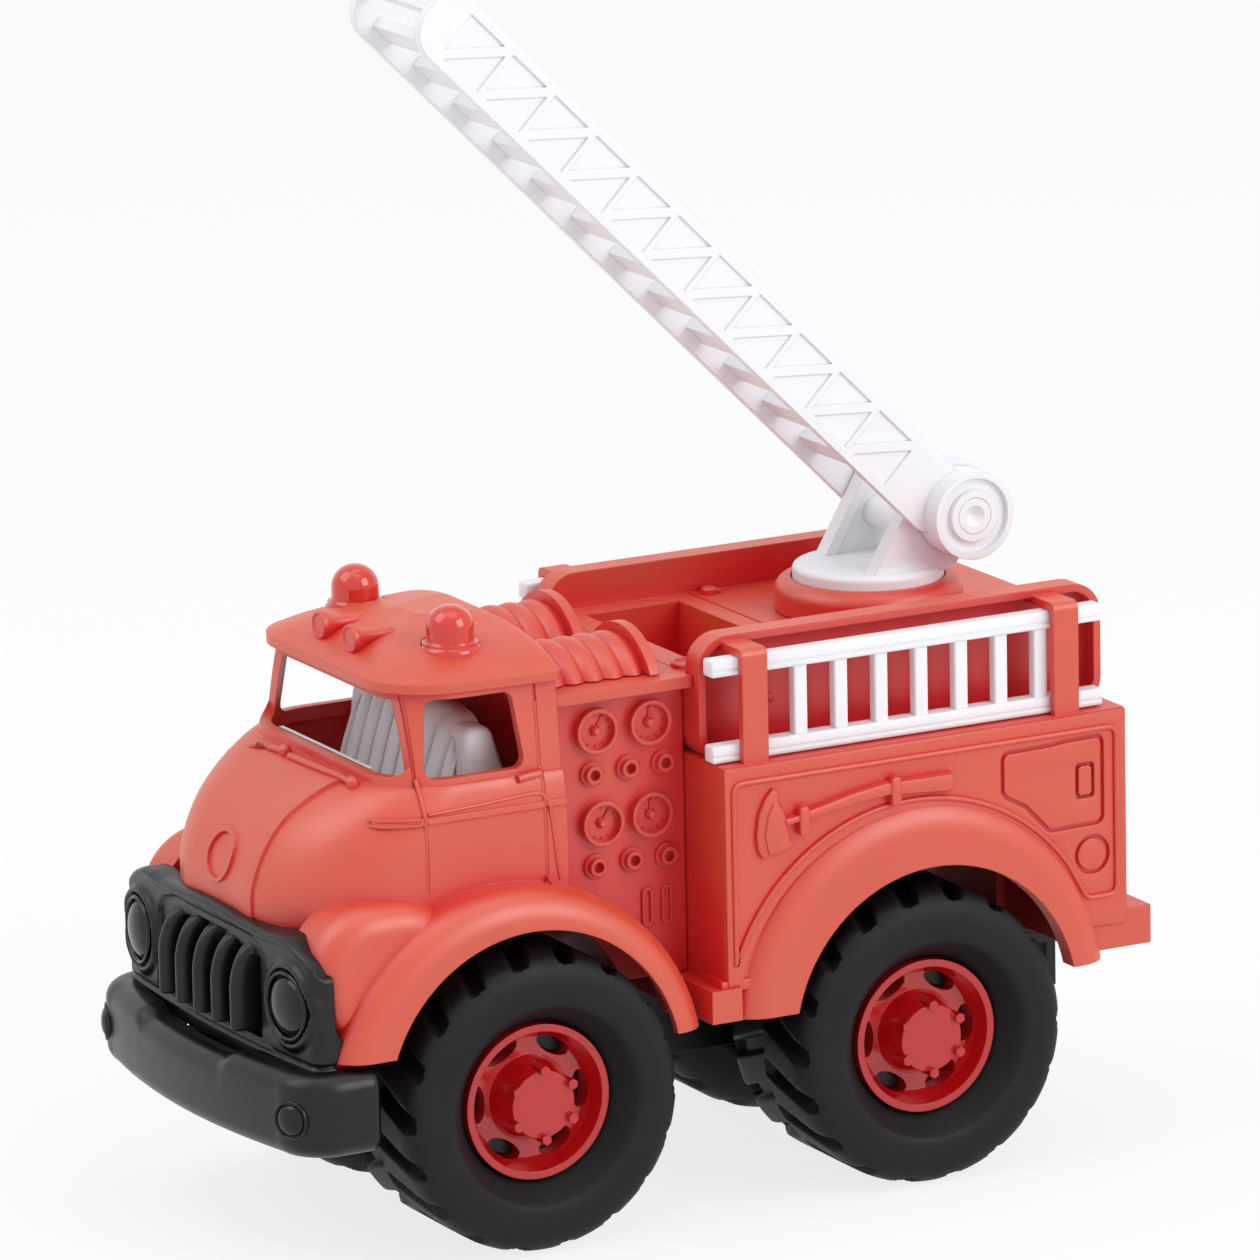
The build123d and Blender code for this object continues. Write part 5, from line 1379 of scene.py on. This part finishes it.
@dataclass
class Seat:
    """Grey bench: a fluted back, the smooth shell behind it, and the foot under the windscreen."""

    half: float = 30.5
    flute_pitch: float = 7.6
    flute_depth: float = 1.5
    flute_sharp: float = 0.55       # below 1, the grooves between the flutes are narrow
    side_round: Pair = (2.2, 2.2)   # width and depth of the rounding at the back's sides
    arch: float = 6.5               # how much lower the back's ends are than its middle
    front: Outline = (      # z and y up the fluted face
        (92.9, -75.6), (102.0, -73.8), (112.0, -71.6), (120.0, -69.4), (128.0, -67.2), (135.0, -64.9),
        (139.5, -63.2), (142.0, -61.4), (143.4, -59.2), (143.9, -57.0))
    back_y: float = -54.0
    corner: float = 7.0
    shell: Outline = (
        (-66.5, 93.0), (-65.0, 112.0), (-61.6, 138.6), (-53.6, 138.6), (-49.7, 126.0), (-49.7, 93.0))
    shell_half: float = 33.9
    foot: Outline = (
        (-87.2, 92.9), (-87.2, 130.2), (-85.9, 130.2), (-85.9, 94.4), (-70.0, 94.4), (-70.0, 92.9))
    foot_half: float = 27.0

    def build(self) -> None:
        """Make the bench."""
        shape = Shape()
        rings = []
        foot_z, top = self.front[0][0], self.front[-1][0]
        for z, y in self.front:
            rest = top - z
            draw = self.corner - math.sqrt(max(self.corner ** 2 - max(self.corner - rest, 0.0) ** 2, 0.0))
            reach = self.half - (draw if rest < self.corner else 0.0)
            line = []
            for share in fractions(160, 2):
                x = reach * (share - 1)
                flute = abs(math.sin(math.pi * (x / self.flute_pitch + 0.5)))
                side = smooth(reach - abs(x), 0.0, self.side_round[0])
                sunk = self.arch * (x / self.half) ** 2 * (z - foot_z) / (top - foot_z)
                inwards = self.flute_depth * (1 - flute ** self.flute_sharp) + self.side_round[1] * (1 - side)
                line.append((x, y + inwards, z - sunk))
            end_z = line[0][2]
            rings.append(line + [(reach, self.back_y, end_z), (0.0, self.back_y, z),
                                 (-reach, self.back_y, end_z)])
        shape.loft(rings)
        shell = relief("shell", [rounded(self.shell, 4.0, 8)], -self.shell_half, self.shell_half, 2.4)
        foot = relief("foot", [self.foot], -self.foot_half, self.foot_half, 0.3)
        for part in (shell, foot):
            shape.add(part)
        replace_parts(shape.build("fluted_bench", Slot.SEAT, "root", sharp=50.0), "bench_seat")


# ------------------------------------------------------------------ studio
@dataclass
class Studio:
    """Floor, lights and camera."""

    target_mm: Point = (0.0, 6.55, 149.9)
    distance_mm: float = 2715.0
    azimuth: float = 62.0
    elevation: float = 13.7
    roll: float = -1.2
    lens: float = 285.7
    floor_size: float = 6.0
    floor_colour: str = "F2F2F3"
    lamps: tuple[tuple[str, Point, float, float], ...] = (      # name, place, size, power
        ("key_softbox", (-0.4, -1.4, 1.8), 1.5, 14.0),
        ("side_softbox", (1.8, 1.0, 1.25), 1.3, 21.0),
        ("top_softbox", (0.3, 0.1, 2.2), 1.6, 8.0))
    ambient: float = 0.62
    floor_glow: float = 0.8

    @staticmethod
    def seen_directly(tree: bpy.types.NodeTree) -> bpy.types.NodeSocket:
        """Tell rays of the camera, of reflections and through glass from rays of light.

        Args:
            tree: the floor's or the world's node tree.

        Returns:
            A socket that is 1 for the rays that show the background.
        """
        ray = add_node(tree, "ShaderNodeLightPath").outputs
        mirrored = add_node(tree, "ShaderNodeMath", {
            0: ray["Is Camera Ray"], 1: ray["Is Glossy Ray"]}, operation="MAXIMUM")
        return add_node(tree, "ShaderNodeMath", {
            0: mirrored.outputs[0], 1: ray["Is Transmission Ray"]}, operation="MAXIMUM").outputs[0]

    def floor(self) -> None:
        """Lay the pale floor, which shows nearly white and keeps the object's shadow."""
        half = self.floor_size / 2
        mesh = bpy.data.meshes.new("floor")
        mesh.from_pydata([(x, y, 0.0) for x, y in box((-half, -half), (half, half))], [], [(0, 1, 2, 3)])
        floor = add_object("floor", mesh)
        material = bpy.data.materials.new("matt_paper_floor")
        material.use_nodes = True
        tree = material.node_tree
        shader = tree.nodes["Principled BSDF"]
        shader.inputs["Base Color"].default_value = linear(self.floor_colour)
        shader.inputs["Roughness"].default_value = 0.9
        glow = add_node(tree, "ShaderNodeEmission", {"Color": (1.0, 1.0, 1.0, 1.0), "Strength": 1.0})
        share = add_node(tree, "ShaderNodeMath", {
            0: self.seen_directly(tree), 1: self.floor_glow}, operation="MULTIPLY")
        blend = add_node(tree, "ShaderNodeMixShader", {
            0: share.outputs[0], 1: shader.outputs[0], 2: glow.outputs[0]})
        tree.links.new(blend.outputs[0], tree.nodes["Material Output"].inputs["Surface"])
        mesh.materials.append(material)

    def light(self) -> None:
        """Hang the softboxes and set the surrounding light."""
        for name, place, size, power in self.lamps:
            lamp = bpy.data.lights.new(name, "AREA")
            lamp.shape = "SQUARE"
            lamp.size = size
            lamp.energy = power
            holder = add_object(name, lamp)
            holder.location = place
            aim = Vector((0.0, 0.0, 0.1)) - Vector(place)
            holder.rotation_euler = aim.to_track_quat("-Z", "Y").to_euler()
        world = bpy.data.worlds.new("studio")
        bpy.context.scene.world = world
        world.use_nodes = True
        tree = world.node_tree
        surround = tree.nodes["Background"]
        surround.inputs["Color"].default_value = (1.0, 1.0, 1.0, 1.0)
        surround.inputs["Strength"].default_value = self.ambient
        backdrop = add_node(tree, "ShaderNodeBackground", {"Color": (1.0, 1.0, 1.0, 1.0), "Strength": 1.0})
        blend = add_node(tree, "ShaderNodeMixShader", {
            0: self.seen_directly(tree), 1: surround.outputs[0], 2: backdrop.outputs[0]})
        tree.links.new(blend.outputs[0], tree.nodes["World Output"].inputs["Surface"])

    def camera(self) -> None:
        """Set up the camera."""
        azimuth, elevation, roll = map(math.radians, (self.azimuth, self.elevation, self.roll))
        back = Vector((math.sin(azimuth) * math.cos(elevation), -math.cos(azimuth) * math.cos(elevation),
                       math.sin(elevation)))
        level = Vector((0.0, 0.0, 1.0)).cross(back).normalized()
        upright = back.cross(level)
        right = level * math.cos(roll) + upright * math.sin(roll)
        up = back.cross(right)
        data = bpy.data.cameras.new("camera")
        data.lens = self.lens
        data.sensor_width = 36.0
        data.clip_end = 20.0
        camera = add_object("camera", data)
        camera.matrix_world = (Matrix.Translation(Vector(self.target_mm) * MM + back * self.distance_mm * MM)
                               @ Matrix((right, up, back)).transposed().to_4x4())
        bpy.context.scene.camera = camera

    def set_up(self) -> None:
        """Build the whole studio."""
        self.floor()
        self.light()
        self.camera()
        bpy.context.scene.view_settings.view_transform = "Standard"


def main() -> None:
    """Build the studio and the fire engine, in order."""
    logging.basicConfig(level=logging.INFO, format="%(name)s: %(message)s")
    Studio().set_up()
    dress_frame()
    for assembly in (Wheels(), Front(), SideLadders(), CargoSide(), Deck(), PumpPanel(), CabTrim(), Seat()):
        assembly.build()
        LOG.info("%s built", type(assembly).__name__)


if __name__ == "__main__":
    main()
